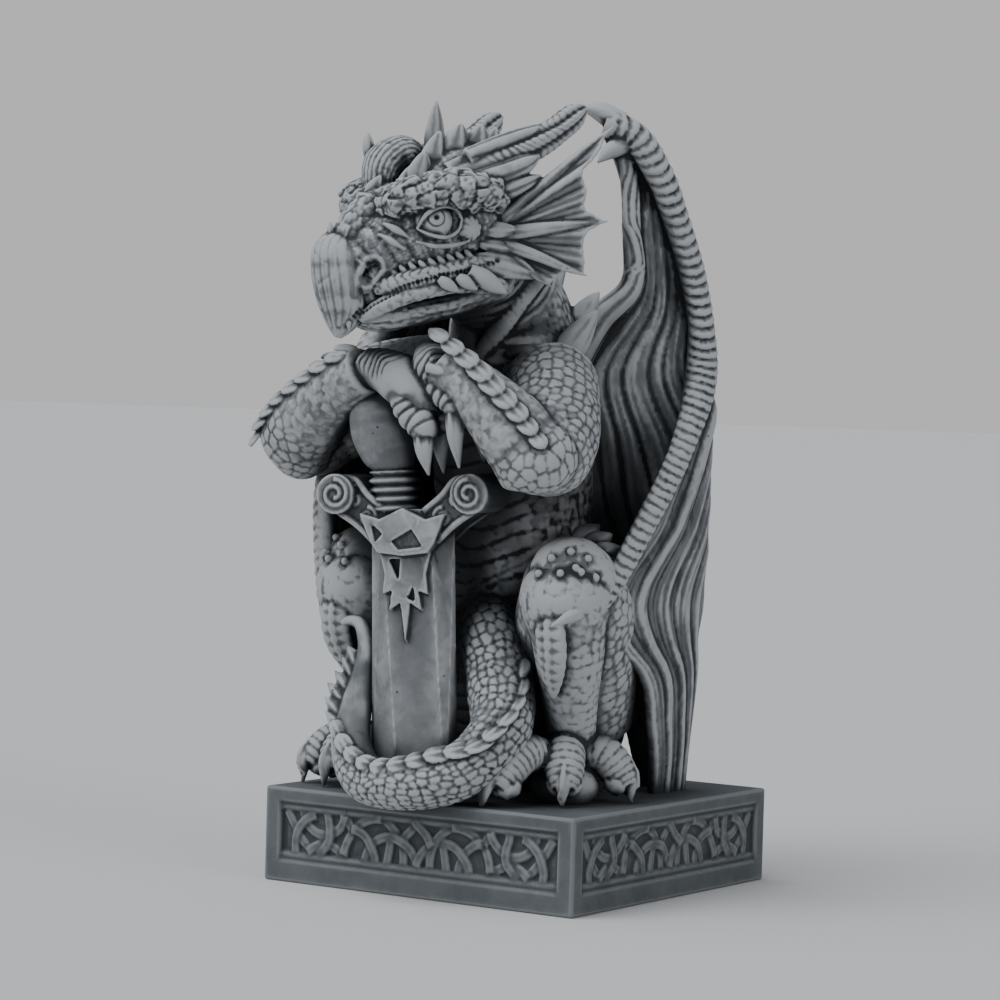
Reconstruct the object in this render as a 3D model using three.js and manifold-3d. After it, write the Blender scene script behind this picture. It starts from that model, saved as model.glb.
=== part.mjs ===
// A cast stone dragon that squats on a square plinth, its chin on its folded hands and its hands on
// the pommel of a broad sword. Millimetres, +Z up. The origin is the middle of the plinth's underside,
// -Y is the front of the plinth and +X the dragon's left hand side.
//
// The plinth is set out in millimetres. The figure is a free form, so its pose and carving are set out
// in parts of its own height, counted from the middle of the plinth's top.

import * as THREE from "three";
import { mergeVertices } from "three/addons/utils/BufferGeometryUtils.js";
import Module from "manifold-3d";

const wasm = await Module();
wasm.setup();

// Driving dimensions of the plinth
const PLINTH_WIDTH = 186;
const PLINTH_DEPTH = 186;
const PLINTH_HEIGHT = 48;
const CORNER_CHAMFER = 1.6;
const FRAME_SIDE = 9.5;
const FRAME_TOP = 7.5;
const FRAME_BOTTOM = 11.5;
const PANEL_DEPTH = 3.6;
const BORDER_WIDTH = 4;
const BORDER_HEIGHT = 1.4;
const STRAP_WIDTH = 4.8;
const STRAP_HEIGHT = 2.4;

// Driving dimensions of the figure
const FIGURE_HEIGHT = 354;
const WING_WALL = 5.5;
const SEAT_GAP = 0.3;

// The sculptor's module: the figure is 354 parts high
const PARTS_HIGH = 354;
const PART = FIGURE_HEIGHT / PARTS_HIGH;

const { Vector2, Vector3, Matrix4 } = THREE;
const UP = new Vector3(0, 0, 1);
const at = (x, y, z) => new Vector3(x * PART, y * PART, PLINTH_HEIGHT + z * PART);
const mirrored = (rows, side) => rows.map(([x, ...rest]) => [x * side, ...rest]);

// Solids and joining. A mirrored or turned geometry can come inside out, so its faces are turned back.

function solidOf(geometry) {
  const bare = new THREE.BufferGeometry().setAttribute("position", geometry.getAttribute("position"));
  if (geometry.index) bare.setIndex(geometry.index);
  const merged = mergeVertices(bare, 1e-4);
  const corners = new Uint32Array(merged.index.array);
  const made = (triVerts) =>
    new wasm.Manifold(new wasm.Mesh({ numProp: 3, vertProperties: merged.attributes.position.array, triVerts }));
  const solid = made(corners);
  return solid.volume() > 0 ? solid : made(corners.toReversed());
}

function closed(points, faces) {
  const geometry = new THREE.BufferGeometry().setFromPoints(points);
  geometry.setIndex(faces);
  return solidOf(geometry);
}

const joined = (solids) => solids.reduce((all, next) => all.add(next));

function geometryOf(solid) {
  const { vertProperties, triVerts } = solid.getMesh();
  const geometry = new THREE.BufferGeometry();
  geometry.setAttribute("position", new THREE.BufferAttribute(vertProperties, 3));
  geometry.setIndex(new THREE.BufferAttribute(triVerts, 1));
  geometry.computeVertexNormals();
  return geometry;
}

// A closed skin over rings of equally many points, with a fan at each end
function skin(rings) {
  const sides = rings[0].length;
  const points = rings.flat();
  const first = points.length;
  for (const ring of [rings[0], rings.at(-1)]) {
    points.push(ring.reduce((sum, p) => sum.add(p), new Vector3()).divideScalar(sides));
  }
  const faces = [];
  for (let i = 0; i < sides; i++) {
    const j = (i + 1) % sides;
    for (let row = 0; row < rings.length - 1; row++) {
      const [a, b] = [row * sides + i, row * sides + j];
      faces.push(a, b, b + sides, a, b + sides, a + sides);
    }
    const last = (rings.length - 1) * sides;
    faces.push(first, j, i, first + 1, last + i, last + j);
  }
  return closed(points, faces);
}

// A limb: stations [x, y, z, half width, half height] on a smooth curve. `upright` is the way that the
// half height is measured, and a station with one radius is round there.
function limb(stations, { sides = 8, steps = 1, upright = UP, place = at } = {}) {
  const line = new THREE.CatmullRomCurve3(stations.map(([x, y, z]) => place(x, y, z)), false, "centripetal");
  const girth = new THREE.CatmullRomCurve3(
    stations.map(([, , , wide, high = wide]) => new Vector3(wide, high, 0).multiplyScalar(PART)),
    false,
    "centripetal",
  );
  const count = (stations.length - 1) * steps;
  const rings = [];
  for (let i = 0; i <= count; i++) {
    const along = i / count;
    const centre = line.getPoint(along);
    const ahead = line.getTangent(along);
    const across = new Vector3().crossVectors(ahead, upright).normalize();
    const over = new Vector3().crossVectors(across, ahead).normalize();
    const { x: wide, y: high } = girth.getPoint(along);
    rings.push(
      Array.from({ length: sides }, (_, k) => {
        const angle = (2 * Math.PI * k) / sides;
        return centre
          .clone()
          .addScaledVector(across, Math.cos(angle) * wide)
          .addScaledVector(over, Math.sin(angle) * high);
      }),
    );
  }
  return skin(rings);
}

// An ellipsoid with its three half sizes along a frame's axes
function ball([x, y, z], [along, across, high], { place = at, axes, detail = [10, 6] } = {}) {
  const sphere = new THREE.SphereGeometry(PART, ...detail);
  const frame = axes ?? [new Vector3(1, 0, 0), new Vector3(0, 1, 0), UP];
  const turn = new Matrix4().makeBasis(...frame).scale(new Vector3(along, across, high));
  return solidOf(sphere.applyMatrix4(turn.setPosition(place(x, y, z))));
}

// A horn, claw or spike: a limb that tapers to a point
const spike = (from, bend, to, radius, options) =>
  limb([[...from, radius], [...bend, radius * 0.72], [...to, radius * 0.12]], { sides: 5, steps: 1, ...options });

// A leaf-shaped plate or tooth from its root to its tip, with a ridge on the side that `upright` names
function leaf(root, tip, width, { upright = UP, place = at, thick = 0.45 } = {}) {
  const [base, point] = [place(...root), place(...tip)];
  const along = point.clone().sub(base);
  const across = new Vector3().crossVectors(along, upright).setLength(width * PART);
  const over = new Vector3().crossVectors(across, along).setLength(width * thick * PART);
  const middle = base.clone().addScaledVector(along, 0.42);
  const rim = [across, over, across.clone().negate(), over.clone().negate()];
  const faces = [0, 1, 2, 3].flatMap((i) => [0, 2 + i, 2 + ((i + 1) % 4), 1, 2 + ((i + 1) % 4), 2 + i]);
  return closed([base, point, ...rim.map((side) => middle.clone().add(side))], faces);
}

// A wall over a grid of points, row by row, as thick at each as `thickness(row, column)` says
function wall(rows, thickness) {
  const [height, width] = [rows.length, rows[0].length];
  const point = (i, j) => rows[Math.min(Math.max(i, 0), height - 1)][Math.min(Math.max(j, 0), width - 1)];
  const faceSide = (sign) =>
    rows.flatMap((row, i) =>
      row.map((p, j) => {
        const down = point(i + 1, j).clone().sub(point(i - 1, j));
        const over = point(i, j + 1).clone().sub(point(i, j - 1));
        return p.clone().addScaledVector(down.cross(over).normalize(), (sign * thickness(i, j)) / 2);
      }),
    );
  const points = [...faceSide(1), ...faceSide(-1)];
  const back = height * width;
  const faces = [];
  const quad = (a, b, c, d) => faces.push(a, b, c, a, c, d);
  for (let i = 0; i < height - 1; i++) {
    for (let j = 0; j < width - 1; j++) {
      const a = i * width + j;
      quad(a, a + width, a + width + 1, a + 1);
      quad(back + a, back + a + 1, back + a + width + 1, back + a + width);
    }
    const [left, right] = [i * width, i * width + width - 1];
    quad(left, back + left, back + left + width, left + width);
    quad(right, right + width, back + right + width, back + right);
  }
  for (let j = 0; j < width - 1; j++) {
    const bottom = (height - 1) * width + j;
    quad(j, j + 1, back + j + 1, back + j);
    quad(bottom, back + bottom, back + bottom + 1, bottom + 1);
  }
  return closed(points, faces);
}

// The plinth: a block with a sunk panel of knotwork on each side

const slab = (width, depth, height) => new THREE.BoxGeometry(width, depth, height);

function strap(points) {
  const half = STRAP_WIDTH / 2;
  const edges = points.map((p, i) => {
    const ahead = points[Math.min(i + 1, points.length - 1)].clone().sub(points[Math.max(i - 1, 0)]);
    return [p, new Vector2(-ahead.y, ahead.x).setLength(half)];
  });
  const outline = [
    ...edges.map(([p, side]) => p.clone().add(side)),
    ...edges.map(([p, side]) => p.clone().sub(side)).reverse(),
  ];
  const shape = new THREE.ExtrudeGeometry(new THREE.Shape(outline), { depth: STRAP_HEIGHT, bevelEnabled: false });
  return solidOf(shape);
}

// Half of a panel's knotwork, out from its middle, in panel units: as many as fit half its height
const KNOT_UNITS = 10.4;
const KNOT_ARCS = [
  [15.8, -13.4, 16, 165, 14, 3],
  [22.3, -10.9, 22, 90, 6, 2],
  [57.3, 13.1, 13.5, 195, 345, 3],
];
const KNOT_LINES = [
  [-1.8, 12.4, 8.5, 2],
  [23, -12, 43, 12],
  [60, -12, 79, 11],
];

// Knotwork for a panel in its own plane: crossing straps cut off by the border, the left half a mirror
// image of the right
function knotwork(width, height) {
  const unit = height / 2 / KNOT_UNITS;
  const point = (x, y) => new Vector2(x * unit, y * unit);
  const arc = ([x, y, radius, from, to, steps]) =>
    Array.from({ length: steps + 1 }, (_, i) => {
      const angle = THREE.MathUtils.degToRad(from + ((to - from) * i) / steps);
      return point(x + radius * Math.cos(angle), y + radius * Math.sin(angle));
    });
  const lines = [...KNOT_ARCS.map(arc), ...KNOT_LINES.map(([x, y, u, v]) => [point(x, y), point(u, v)])];
  const both = lines.flatMap((line) => [line, line.map(({ x, y }) => new Vector2(-x, y)).reverse()]);
  const window = slab(width, height, 4 * STRAP_HEIGHT);
  return joined(both.map(strap)).intersect(solidOf(window));
}

// One side's panel as it is set in the front: x along the side, z up, y out of the panel's floor
function panel(side) {
  const [width, height] = [side - 2 * FRAME_SIDE, PLINTH_HEIGHT - FRAME_TOP - FRAME_BOTTOM];
  const knots = knotwork(width, height - 2 * BORDER_WIDTH);
  const border = [1, -1].map((edge) => {
    const strip = slab(width, BORDER_WIDTH, 2 * BORDER_HEIGHT);
    return solidOf(strip.translate(0, (edge * (height - BORDER_WIDTH)) / 2, 0));
  });
  return { width, height, relief: joined([knots, ...border]) };
}

function stood(solid, turns, reach) {
  const middle = (PLINTH_HEIGHT + FRAME_BOTTOM - FRAME_TOP) / 2;
  const place = new Matrix4()
    .makeRotationZ((turns * Math.PI) / 2)
    .multiply(new Matrix4().makeTranslation(0, -reach, middle))
    .multiply(new Matrix4().makeRotationX(Math.PI / 2));
  return solid.transform(place.elements);
}

function plinthBlock() {
  const outline = new THREE.Shape();
  const [x, y, cut] = [PLINTH_WIDTH / 2, PLINTH_DEPTH / 2, CORNER_CHAMFER];
  outline.moveTo(-x + cut, -y);
  outline.lineTo(x - cut, -y);
  outline.lineTo(x, -y + cut);
  outline.lineTo(x, y - cut);
  outline.lineTo(x - cut, y);
  outline.lineTo(-x + cut, y);
  outline.lineTo(-x, y - cut);
  outline.lineTo(-x, -y + cut);
  return solidOf(new THREE.ExtrudeGeometry(outline, { depth: PLINTH_HEIGHT, bevelEnabled: false }));
}

function plinth() {
  let block = plinthBlock();
  const sides = [PLINTH_WIDTH, PLINTH_DEPTH, PLINTH_WIDTH, PLINTH_DEPTH];
  sides.forEach((side, turns) => {
    const { width, height, relief } = panel(side);
    const reach = sides[(turns + 1) % 2] / 2 - PANEL_DEPTH;
    const sunk = solidOf(slab(width, height, 2 * PANEL_DEPTH).translate(0, 0, PANEL_DEPTH));
    block = block.subtract(stood(sunk, turns, reach)).add(stood(relief, turns, reach));
  });
  return block;
}

// Torso, neck and the ridge of plates down the back

const TORSO = [
  [0, 12, -6, 36, 34],
  [0, 10, 34, 50, 46],
  [0, 2, 84, 42, 42],
  [0, -10, 138, 38, 42],
  [0, -16, 184, 40, 42],
  [0, -14, 212, 37, 38],
  [-1, -16, 240, 29, 31],
  [-4, -36, 262, 27, 29],
  [-7, -62, 282, 25, 27],
];
const BACK_RIDGE = [
  [0, 2, 246, -4, 36, 276],
  [0, 6, 218, 2, 48, 246],
  [0, 6, 192, 2, 50, 206],
  [0, 12, 160, 2, 56, 168],
  [0, 18, 126, 2, 63, 126],
  [0, 26, 88, 2, 70, 82],
];

function torso() {
  const trunk = limb(TORSO, { sides: 10, upright: new Vector3(0, 1, 0) });
  const ridge = BACK_RIDGE.map(([x, y, z, dx, ty, tz]) =>
    leaf([x, y, z], [x + dx, ty, tz], 11, { upright: new Vector3(1, 0, 0) }),
  );
  return [trunk, ...ridge];
}

// Legs and feet

const THIGH = [
  [26, 6, 44, 34, 34],
  [46, -24, 82, 31, 31],
  [59, -48, 106, 26, 26],
  [62, -61, 115, 20, 20],
];
const SHIN = [
  [62, -58, 112, 20, 20],
  [62, -54, 82, 18, 18],
  [56, -42, 50, 14, 13],
  [50, -31, 28, 13, 12],
  [48, -30, 4, 17, 15],
];
const LEFT_TOES = [
  [[44, -38, 18], [36, -55, 23], [29, -68, 14], [26, -75, 0]],
  [[50, -36, 20], [57, -47, 25], [63, -56, 14], [66, -62, 0]],
  [[52, -30, 18], [66, -27, 24], [75, -23, 14], [80, -21, 0]],
];
const RIGHT_TOES = [
  [[-52, -40, 18], [-48, -58, 23], [-44, -74, 14], [-42, -82, 0]],
  [[-58, -40, 20], [-63, -58, 24], [-66, -71, 14], [-67, -79, 0]],
  [[-60, -38, 18], [-74, -54, 23], [-82, -65, 14], [-86, -71, 0]],
];

function toe([root, knuckle, pad, tip]) {
  const above = pad.map((value, i) => (value + tip[i]) / 2 + (i === 2 ? 5 : 0));
  return [
    limb([[...root, 9, 8], [...knuckle, 10, 9.5], [...pad, 8, 8.5]], { sides: 6 }),
    spike(pad, above, tip, 6),
  ];
}

function leg(side, toes) {
  const forward = new Vector3(0, -1, 0);
  const sole = side > 0 ? [52, -38, 8] : [-60, -44, 8];
  return [
    limb(mirrored(THIGH, side), { sides: 8 }),
    limb(mirrored(SHIN, side), { upright: forward }),
    ball(sole, [17, 17, 12], { detail: [8, 5] }),
    ...toes.flatMap(toe),
  ];
}

// Arms, hands and the rows of plates on the forearms

const LEFT_ARM = [
  [34, -34, 206, 24, 26],
  [44, -48, 196, 24, 25],
  [54, -64, 178, 23, 24],
  [58, -76, 168, 19, 19],
];
const LEFT_FOREARM = [
  [60, -77, 164, 18, 18],
  [50, -84, 180, 19, 20],
  [32, -92, 200, 15, 16],
  [12, -97, 215, 12, 12],
];
const RIGHT_ARM = [
  [-34, -34, 206, 24, 26],
  [-58, -52, 200, 25, 26],
  [-80, -68, 187, 24, 25],
  [-91, -78, 174, 19, 20],
];
const RIGHT_FOREARM = [
  [-92, -80, 171, 17, 17],
  [-78, -88, 183, 19, 19],
  [-56, -96, 200, 15, 15],
  [-32, -101, 212, 12, 11],
];
const LEFT_FINGERS = [
  [[6, -97, 214], [13, -99, 204], [22, -99, 196], [24, -98, 165]],
  [[10, -86, 214], [19, -84, 204], [26, -83, 195], [28, -82, 168]],
];
const RIGHT_FINGERS = [
  [[-8, -103, 204], [-1, -104, 191], [6, -103, 184], [9, -102, 161]],
  [[-8, -90, 208], [3, -90, 197], [8, -89, 187], [8, -88, 162]],
];

function finger([root, knuckle, joint, tip]) {
  const bend = joint.map((value, i) => (value + tip[i]) / 2 + (i === 1 ? -2 : 0));
  return [
    limb([[...root, 8.5, 8], [...knuckle, 7.5, 7.2], [...joint, 7.2, 6.8]], { sides: 6 }),
    spike(joint, bend, tip, 5.6, { upright: new Vector3(0, -1, 0) }),
  ];
}

// Plates that overlap along a limb's edge, from station to station, leaning back along it
function plateRow(from, to, count, width, lean, upright) {
  return Array.from({ length: count }, (_, i) => {
    const share = i / (count - 1);
    const root = from.map((value, k) => value + (to[k] - value) * share - lean[k] * 0.4);
    const size = width * (0.75 + 0.4 * Math.sin(Math.PI * share));
    return leaf(root, root.map((value, k) => value + lean[k] * 1.5), size, { upright });
  });
}

function arms() {
  const forward = new Vector3(0, -1, 0);
  return [
    limb(LEFT_ARM),
    limb(LEFT_FOREARM, { upright: forward }),
    limb(RIGHT_ARM),
    limb(RIGHT_FOREARM, { upright: forward }),
    ball([6, -96, 212], [13, 13, 10], { detail: [8, 5] }),
    ball([-14, -101, 207], [16, 12, 12], { detail: [8, 5] }),
    ...LEFT_FINGERS.flatMap(finger),
    ...RIGHT_FINGERS.flatMap(finger),
    ...plateRow([60, -90, 182], [18, -106, 222], 6, 10, [-4, -3, 12], new Vector3(0.35, -0.9, 0.2)),
    ...plateRow([-108, -88, 178], [-66, -98, 212], 6, 10, [-5, 0, 12], new Vector3(-0.4, -0.9, 0.1)),
  ];
}

// Tail: out between the legs, round the front of the sword's foot, and up beside the blade

const TAIL = [
  [0, 14, 60, 25, 25],
  [-2, -26, 82, 22, 22],
  [8, -46, 80, 20, 20],
  [26, -60, 58, 18, 18],
  [37, -76, 34, 16, 16],
  [27, -94, 16, 15, 14.5],
  [0, -105, 8.5, 13, 13],
  [-25, -103, 11, 11.5, 11.5],
  [-38, -96, 26, 10, 10],
  [-41, -89, 50, 8.5, 8.5],
  [-40, -86, 74, 6.5, 6.5],
  [-43, -86, 85, 4.5, 4.5],
  [-52, -86, 88, 2, 2],
];
const TAIL_PLATES = [
  [22, -48, 96, 34, -48, 104],
  [32, -60, 78, 43, -58, 86],
  [40, -70, 58, 51, -68, 66],
  [42, -84, 40, 44, -86, 54],
  [33, -94, 31, 28, -99, 44],
  [18, -102, 26, 11, -106, 38],
  [2, -105, 22, -7, -108, 34],
  [-14, -105, 21, -25, -107, 31],
  [-31, -103, 25, -42, -103, 34],
  [-44, -96, 38, -53, -95, 48],
  [-48, -90, 52, -55, -89, 62],
  [-46, -87, 64, -52, -87, 74],
];

function tail() {
  const plates = TAIL_PLATES.map(([x, y, z, tx, ty, tz]) =>
    leaf([2 * x - tx, 2 * y - ty, 2 * z - tz], [tx, ty, tz], 8.5, { upright: new Vector3(-0.3, -0.8, 0.5) }),
  );
  return [limb(TAIL, { sides: 8, upright: new Vector3(0.15, -0.35, 1).normalize() }), ...plates];
}

// Wings: a wall of folded membrane from the back, round behind, to the leading finger in front.
// Each row is [height, front x, front y, rear x, rear y, root x, root y] for one level.

const LEFT_WING = [
  [326, 40, 44, 34, 47, 29, 43],
  [289, 54, 54, 45, 58, 35, 42],
  [250, 64, 57, 53, 62, 33, 37],
  [214, 69, 54, 63, 62, 14, 18],
  [180, 77, 22, 69, 58, 14, 20],
  [140, 80, -12, 70, 57, 15, 22],
  [97, 78, -52, 70, 57, 20, 31],
  [77, 75, -27, 68, 56, 26, 36],
  [66, 74, -8, 67, 56, 30, 40],
  [34, 70, 12, 65, 55, 34, 46],
  [-6, 62, 28, 62, 55, 42, 52],
];
const RIGHT_WING = [
  [306, -56, 10, -50, 22, -42, 24],
  [258, -77, -4, -71, 41, -32, 38],
  [232, -84, -16, -80, 45, -24, 30],
  [206, -86, -34, -85, 47, -14, 20],
  [146, -83, -60, -84, 51, -15, 22],
  [100, -79, -58, -78, 53, -20, 30],
  [77, -77, -34, -73, 55, -26, 36],
  [66, -76, -14, -70, 55, -30, 40],
  [34, -72, 8, -66, 55, -34, 46],
  [-6, -63, 28, -62, 55, -42, 52],
];
const WING_COLUMNS = 8;
const FOLD_DEPTH = 2.2;

function membrane(rows) {
  const grid = rows.map(([z, frontX, frontY, rearX, rearY, rootX, rootY], level) => {
    const [front, rear, root] = [at(frontX, frontY, z), at(rearX, rearY, z), at(rootX, rootY, z)];
    const section = new THREE.CatmullRomCurve3([front, rear, root]);
    const drop = Math.min(1, level / 3);
    return Array.from({ length: WING_COLUMNS }, (_, j) => {
      const share = j / (WING_COLUMNS - 1);
      const fold = (j % 2 ? 1 : -1) * FOLD_DEPTH * PART * drop;
      const point = section.getPointAt(share);
      const ahead = section.getTangentAt(share);
      return point.add(new Vector3(-ahead.y, ahead.x, 0).setLength(fold));
    });
  });
  return wall(grid, () => WING_WALL);
}

const LEFT_FINGER_BONE = [
  [20, 32, 343, 7],
  [31, 39, 338, 7.5],
  [44, 47, 318, 7],
  [52, 53, 294, 6.5],
  [59, 58, 268, 6.5],
  [66, 57, 241, 6.5],
  [69, 54, 218, 8],
  [78, 22, 178, 6],
  [81, -18, 138, 5.5],
  [79, -50, 104, 5],
  [78, -59, 97, 5],
];
const RIGHT_FINGER_BONE = [
  [-46, 14, 314, 7],
  [-60, 8, 298, 7],
  [-76, -2, 260, 6.5],
  [-86, -26, 216, 8],
  [-86, -48, 180, 6],
  [-83, -62, 146, 5.5],
  [-80, -65, 116, 5],
  [-78, -64, 94, 5],
];
const LEFT_WING_ARM = [
  [12, 12, 214, 11],
  [24, 26, 242, 8],
  [35, 37, 258, 6.5],
  [34, 38, 290, 5],
  [29, 41, 318, 5],
  [23, 35, 340, 6],
];
const RIGHT_WING_ARM = [
  [-14, 6, 206, 11],
  [-30, 18, 228, 8],
  [-43, 28, 244, 6.5],
  [-44, 26, 278, 5],
  [-44, 16, 312, 6],
];

function wings() {
  const bones = [LEFT_FINGER_BONE, RIGHT_FINGER_BONE, LEFT_WING_ARM, RIGHT_WING_ARM];
  return [
    membrane(LEFT_WING),
    membrane(RIGHT_WING),
    ...bones.map((bone) => limb(bone, { sides: 6 })),
    spike([28, 36, 343], [16, 29, 350], [8, 24, 351], 6.5),
    spike([31, 37, 334], [25, 28, 328], [22, 22, 322], 5.5),
    spike([-52, 14, 312], [-44, 4, 322], [-38, -2, 318], 6),
    spike([78, -57, 100], [76, -73, 96], [72, -88, 90], 5),
    spike([-79, -62, 97], [-77, -66, 86], [-68, -62, 78], 5),
  ];
}

// Head: set out in its own frame, forward, to its left and up, from a point between the eyes

const HEAD_CENTRE = [-8, -76, 284];
const HEAD_TURN = THREE.MathUtils.degToRad(-24);
const HEAD_DIP = THREE.MathUtils.degToRad(12);
const FORWARD = new Vector3(
  Math.sin(HEAD_TURN) * Math.cos(HEAD_DIP),
  -Math.cos(HEAD_TURN) * Math.cos(HEAD_DIP),
  -Math.sin(HEAD_DIP),
);
const LEFTWARD = new Vector3(Math.cos(HEAD_TURN), Math.sin(HEAD_TURN), 0);
const CROWN = new Vector3().crossVectors(LEFTWARD, FORWARD).negate();
const HEAD_AXES = [FORWARD, LEFTWARD, CROWN];
const onHead = (forward, left, up) =>
  at(...HEAD_CENTRE)
    .addScaledVector(FORWARD, forward * PART)
    .addScaledVector(LEFTWARD, left * PART)
    .addScaledVector(CROWN, up * PART);
const headLimb = (stations, options) => limb(stations, { place: onHead, upright: CROWN, ...options });
const headBall = (centre, sizes, detail) =>
  ball(centre, sizes, { place: onHead, axes: HEAD_AXES.map((axis) => axis.clone()), detail });
const bothSides = (make) => [1, -1].flatMap(make);

const SNOUT = [
  [-42, 0, 2, 18, 20],
  [-18, 0, 6, 36, 36],
  [14, 0, 1, 32, 28],
  [36, 0, -7, 22, 21],
  [52, 0, -12, 15, 18],
];
const BEAK = [
  [42, 0, -6, 13, 12],
  [54, 0, -7, 14, 14],
  [63, 0, -15, 12, 10],
  [66, 0, -28, 8.5, 7],
  [61, 0, -40, 3, 2.5],
];
const JAW = [
  [-24, 0, -24, 30, 13],
  [4, 0, -36, 28, 11],
  [30, 0, -37, 20, 10],
  [50, 0, -36, 11, 8],
];
const BROW = [
  [31, 12, 16, 8, 7],
  [25, 25, 21, 9.5, 8],
  [12, 35, 22, 10, 9],
  [-8, 40, 14, 8, 7],
  [-16, 39, 8, 4, 4],
];
const LIP = [
  [46, 13, -26, 6, 5],
  [30, 22, -22, 6, 6],
  [10, 31, -20, 6, 6],
  [-10, 35, -26, 6, 6],
];
const HORN = [
  [0, 22, 20, 13, 12],
  [-16, 28, 26, 12, 11],
  [-36, 34, 32, 9.5, 9],
  [-52, 37, 38, 7.5, 7.5],
  [-68, 39, 46, 4.5, 4.5],
];
const SMALL_HORN = [
  [0, 36, 14, 8, 7],
  [-20, 40, 18, 8, 7],
  [-38, 42, 22, 3, 3],
];
const TEETH = [
  [6, 34, -20, 3.4],
  [-2, 36, -21, 3.6],
  [-11, 38, -24, 4.4],
];
const EAR_ROOT = [-6, 28, -7];
const EAR_TIPS = [
  [-69, 60, 35],
  [-52, 62, 19],
  [-54, 66, -8],
  [-47, 62, -16],
  [-42, 60, -32],
  [-34, 54, -30],
  [-29, 48, -35],
];
const EAR_FOLD = 3;
const EAR_ROWS = [
  [0.06, 10, 5],
  [0.6, 7, 3],
  [1, 2, 2],
];
const CREST = [
  [30, 0, 24, 12],
  [18, 5, 32, 15],
  [14, -8, 34, 17],
  [4, 0, 36, 28],
  [-4, 11, 34, 15],
  [-12, -8, 36, 15],
  [-18, 6, 35, 15],
  [-30, 0, 31, 14],
];

function ear(side) {
  const root = [EAR_ROOT[0], EAR_ROOT[1] * side, EAR_ROOT[2]];
  const tips = EAR_TIPS.map(([f, l, u]) => [f, l * side, u]);
  const rows = EAR_ROWS.map(([share]) =>
    tips.map((tip, i) => {
      const [f, l, u] = root.map((value, k) => value + (tip[k] - value) * share);
      return onHead(f - (i % 2) * EAR_FOLD, l, u);
    }),
  );
  return wall(rows, (row, column) => EAR_ROWS[row][1 + (column % 2)] * PART);
}

function fang([f, l, u, radius], side) {
  const [root, tip] = [[f + 3, (l - 1) * side, u + 1], [f - 12, (l + 4) * side, u - 6]];
  return leaf(root, tip, radius * 1.2, { place: onHead, upright: CROWN, thick: 1 });
}

function crestSpike([f, l, u, tall]) {
  return leaf([f + 2, l, u - 9], [f - 5, l * 1.2, u + tall - 5], 5.5, { place: onHead, upright: LEFTWARD, thick: 0.8 });
}

function halfHead(side) {
  return [
    ...[BROW, LIP, HORN, SMALL_HORN].map((row, i) => headLimb(mirroredLeft(row, side), { sides: i === 2 ? 6 : 5 })),
    headBall([17, 30 * side, 3], [8.5, 8.5, 8.5], [7, 5]),
    headBall([44, 12 * side, -10], [11, 9, 10], [6, 4]),
    ...TEETH.map((tooth) => fang(tooth, side)),
    ear(side),
  ];
}

function head() {
  return [
    headLimb(SNOUT, { sides: 11 }),
    headLimb(BEAK, { sides: 7, upright: FORWARD }),
    headLimb(JAW, { sides: 8 }),
    ...bothSides(halfHead),
    headLimb([[58, 0, -6, 4], [61, 0, 4, 3], [60, 0, 12, 0.8]], { sides: 5, upright: FORWARD }),
    ...CREST.map(crestSpike),
  ];
}

function mirroredLeft(stations, side) {
  return stations.map(([f, l, ...rest]) => [f, l * side, ...rest]);
}

// Sword: set out in its own frame, across, out to its back and up from its foot

const SWORD_FOOT = at(-7.6, -83, 0);
const SWORD_GUARD = at(-12.6, -84, 140);
const SWORD_TURN = THREE.MathUtils.degToRad(12);
const SWORD_UP = SWORD_GUARD.clone().sub(SWORD_FOOT).normalize();
const SWORD_BACK = new Vector3(-Math.sin(SWORD_TURN), Math.cos(SWORD_TURN), 0).projectOnPlane(SWORD_UP).normalize();
const SWORD_ACROSS = new Vector3().crossVectors(SWORD_BACK, SWORD_UP);
const SWORD_PLACE = new Matrix4().makeBasis(SWORD_ACROSS, SWORD_BACK, SWORD_UP).setPosition(SWORD_FOOT);
const onSword = (across, back, up) => new Vector3(across, back, up).multiplyScalar(PART).applyMatrix4(SWORD_PLACE);
const GUARD_LEVEL = 140;
const GUARD_REACH = 36;
const GUARD_THICK = 24;
const BOSS_THICK = 29;
const SPIKES_THICK = 21;
const SCROLL_RADIUS = 10;
const SCROLL_LENGTH = 30;
const GRIP_RINGS = 5;
const GRIP_PITCH = 4.6;

// The blade's six-sided section: half width, half flat, half thickness and the flat's shift across
function bladeSection(up, wide, flat, thick, skew) {
  const corners = [
    [-wide, 0],
    [skew - flat, -thick],
    [skew + flat, -thick],
    [wide, 0],
    [skew + flat, thick],
    [skew - flat, thick],
  ];
  return corners.map(([across, back]) => onSword(across, back, up));
}

// A flat piece across the sword, as thick as stated, from half an outline [across, up]
function swordPlate(half, thickness) {
  const inner = half.filter(([across]) => across > 0);
  const outline = [...half, ...inner.map(([across, up]) => [-across, up]).reverse()];
  const shape = new THREE.Shape(outline.map(([across, up]) => new Vector2(across * PART, up * PART)));
  const plate = new THREE.ExtrudeGeometry(shape, { depth: thickness * PART, bevelEnabled: false });
  plate.translate(0, 0, (-thickness * PART) / 2).rotateX(Math.PI / 2);
  return solidOf(plate.applyMatrix4(SWORD_PLACE));
}

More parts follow.
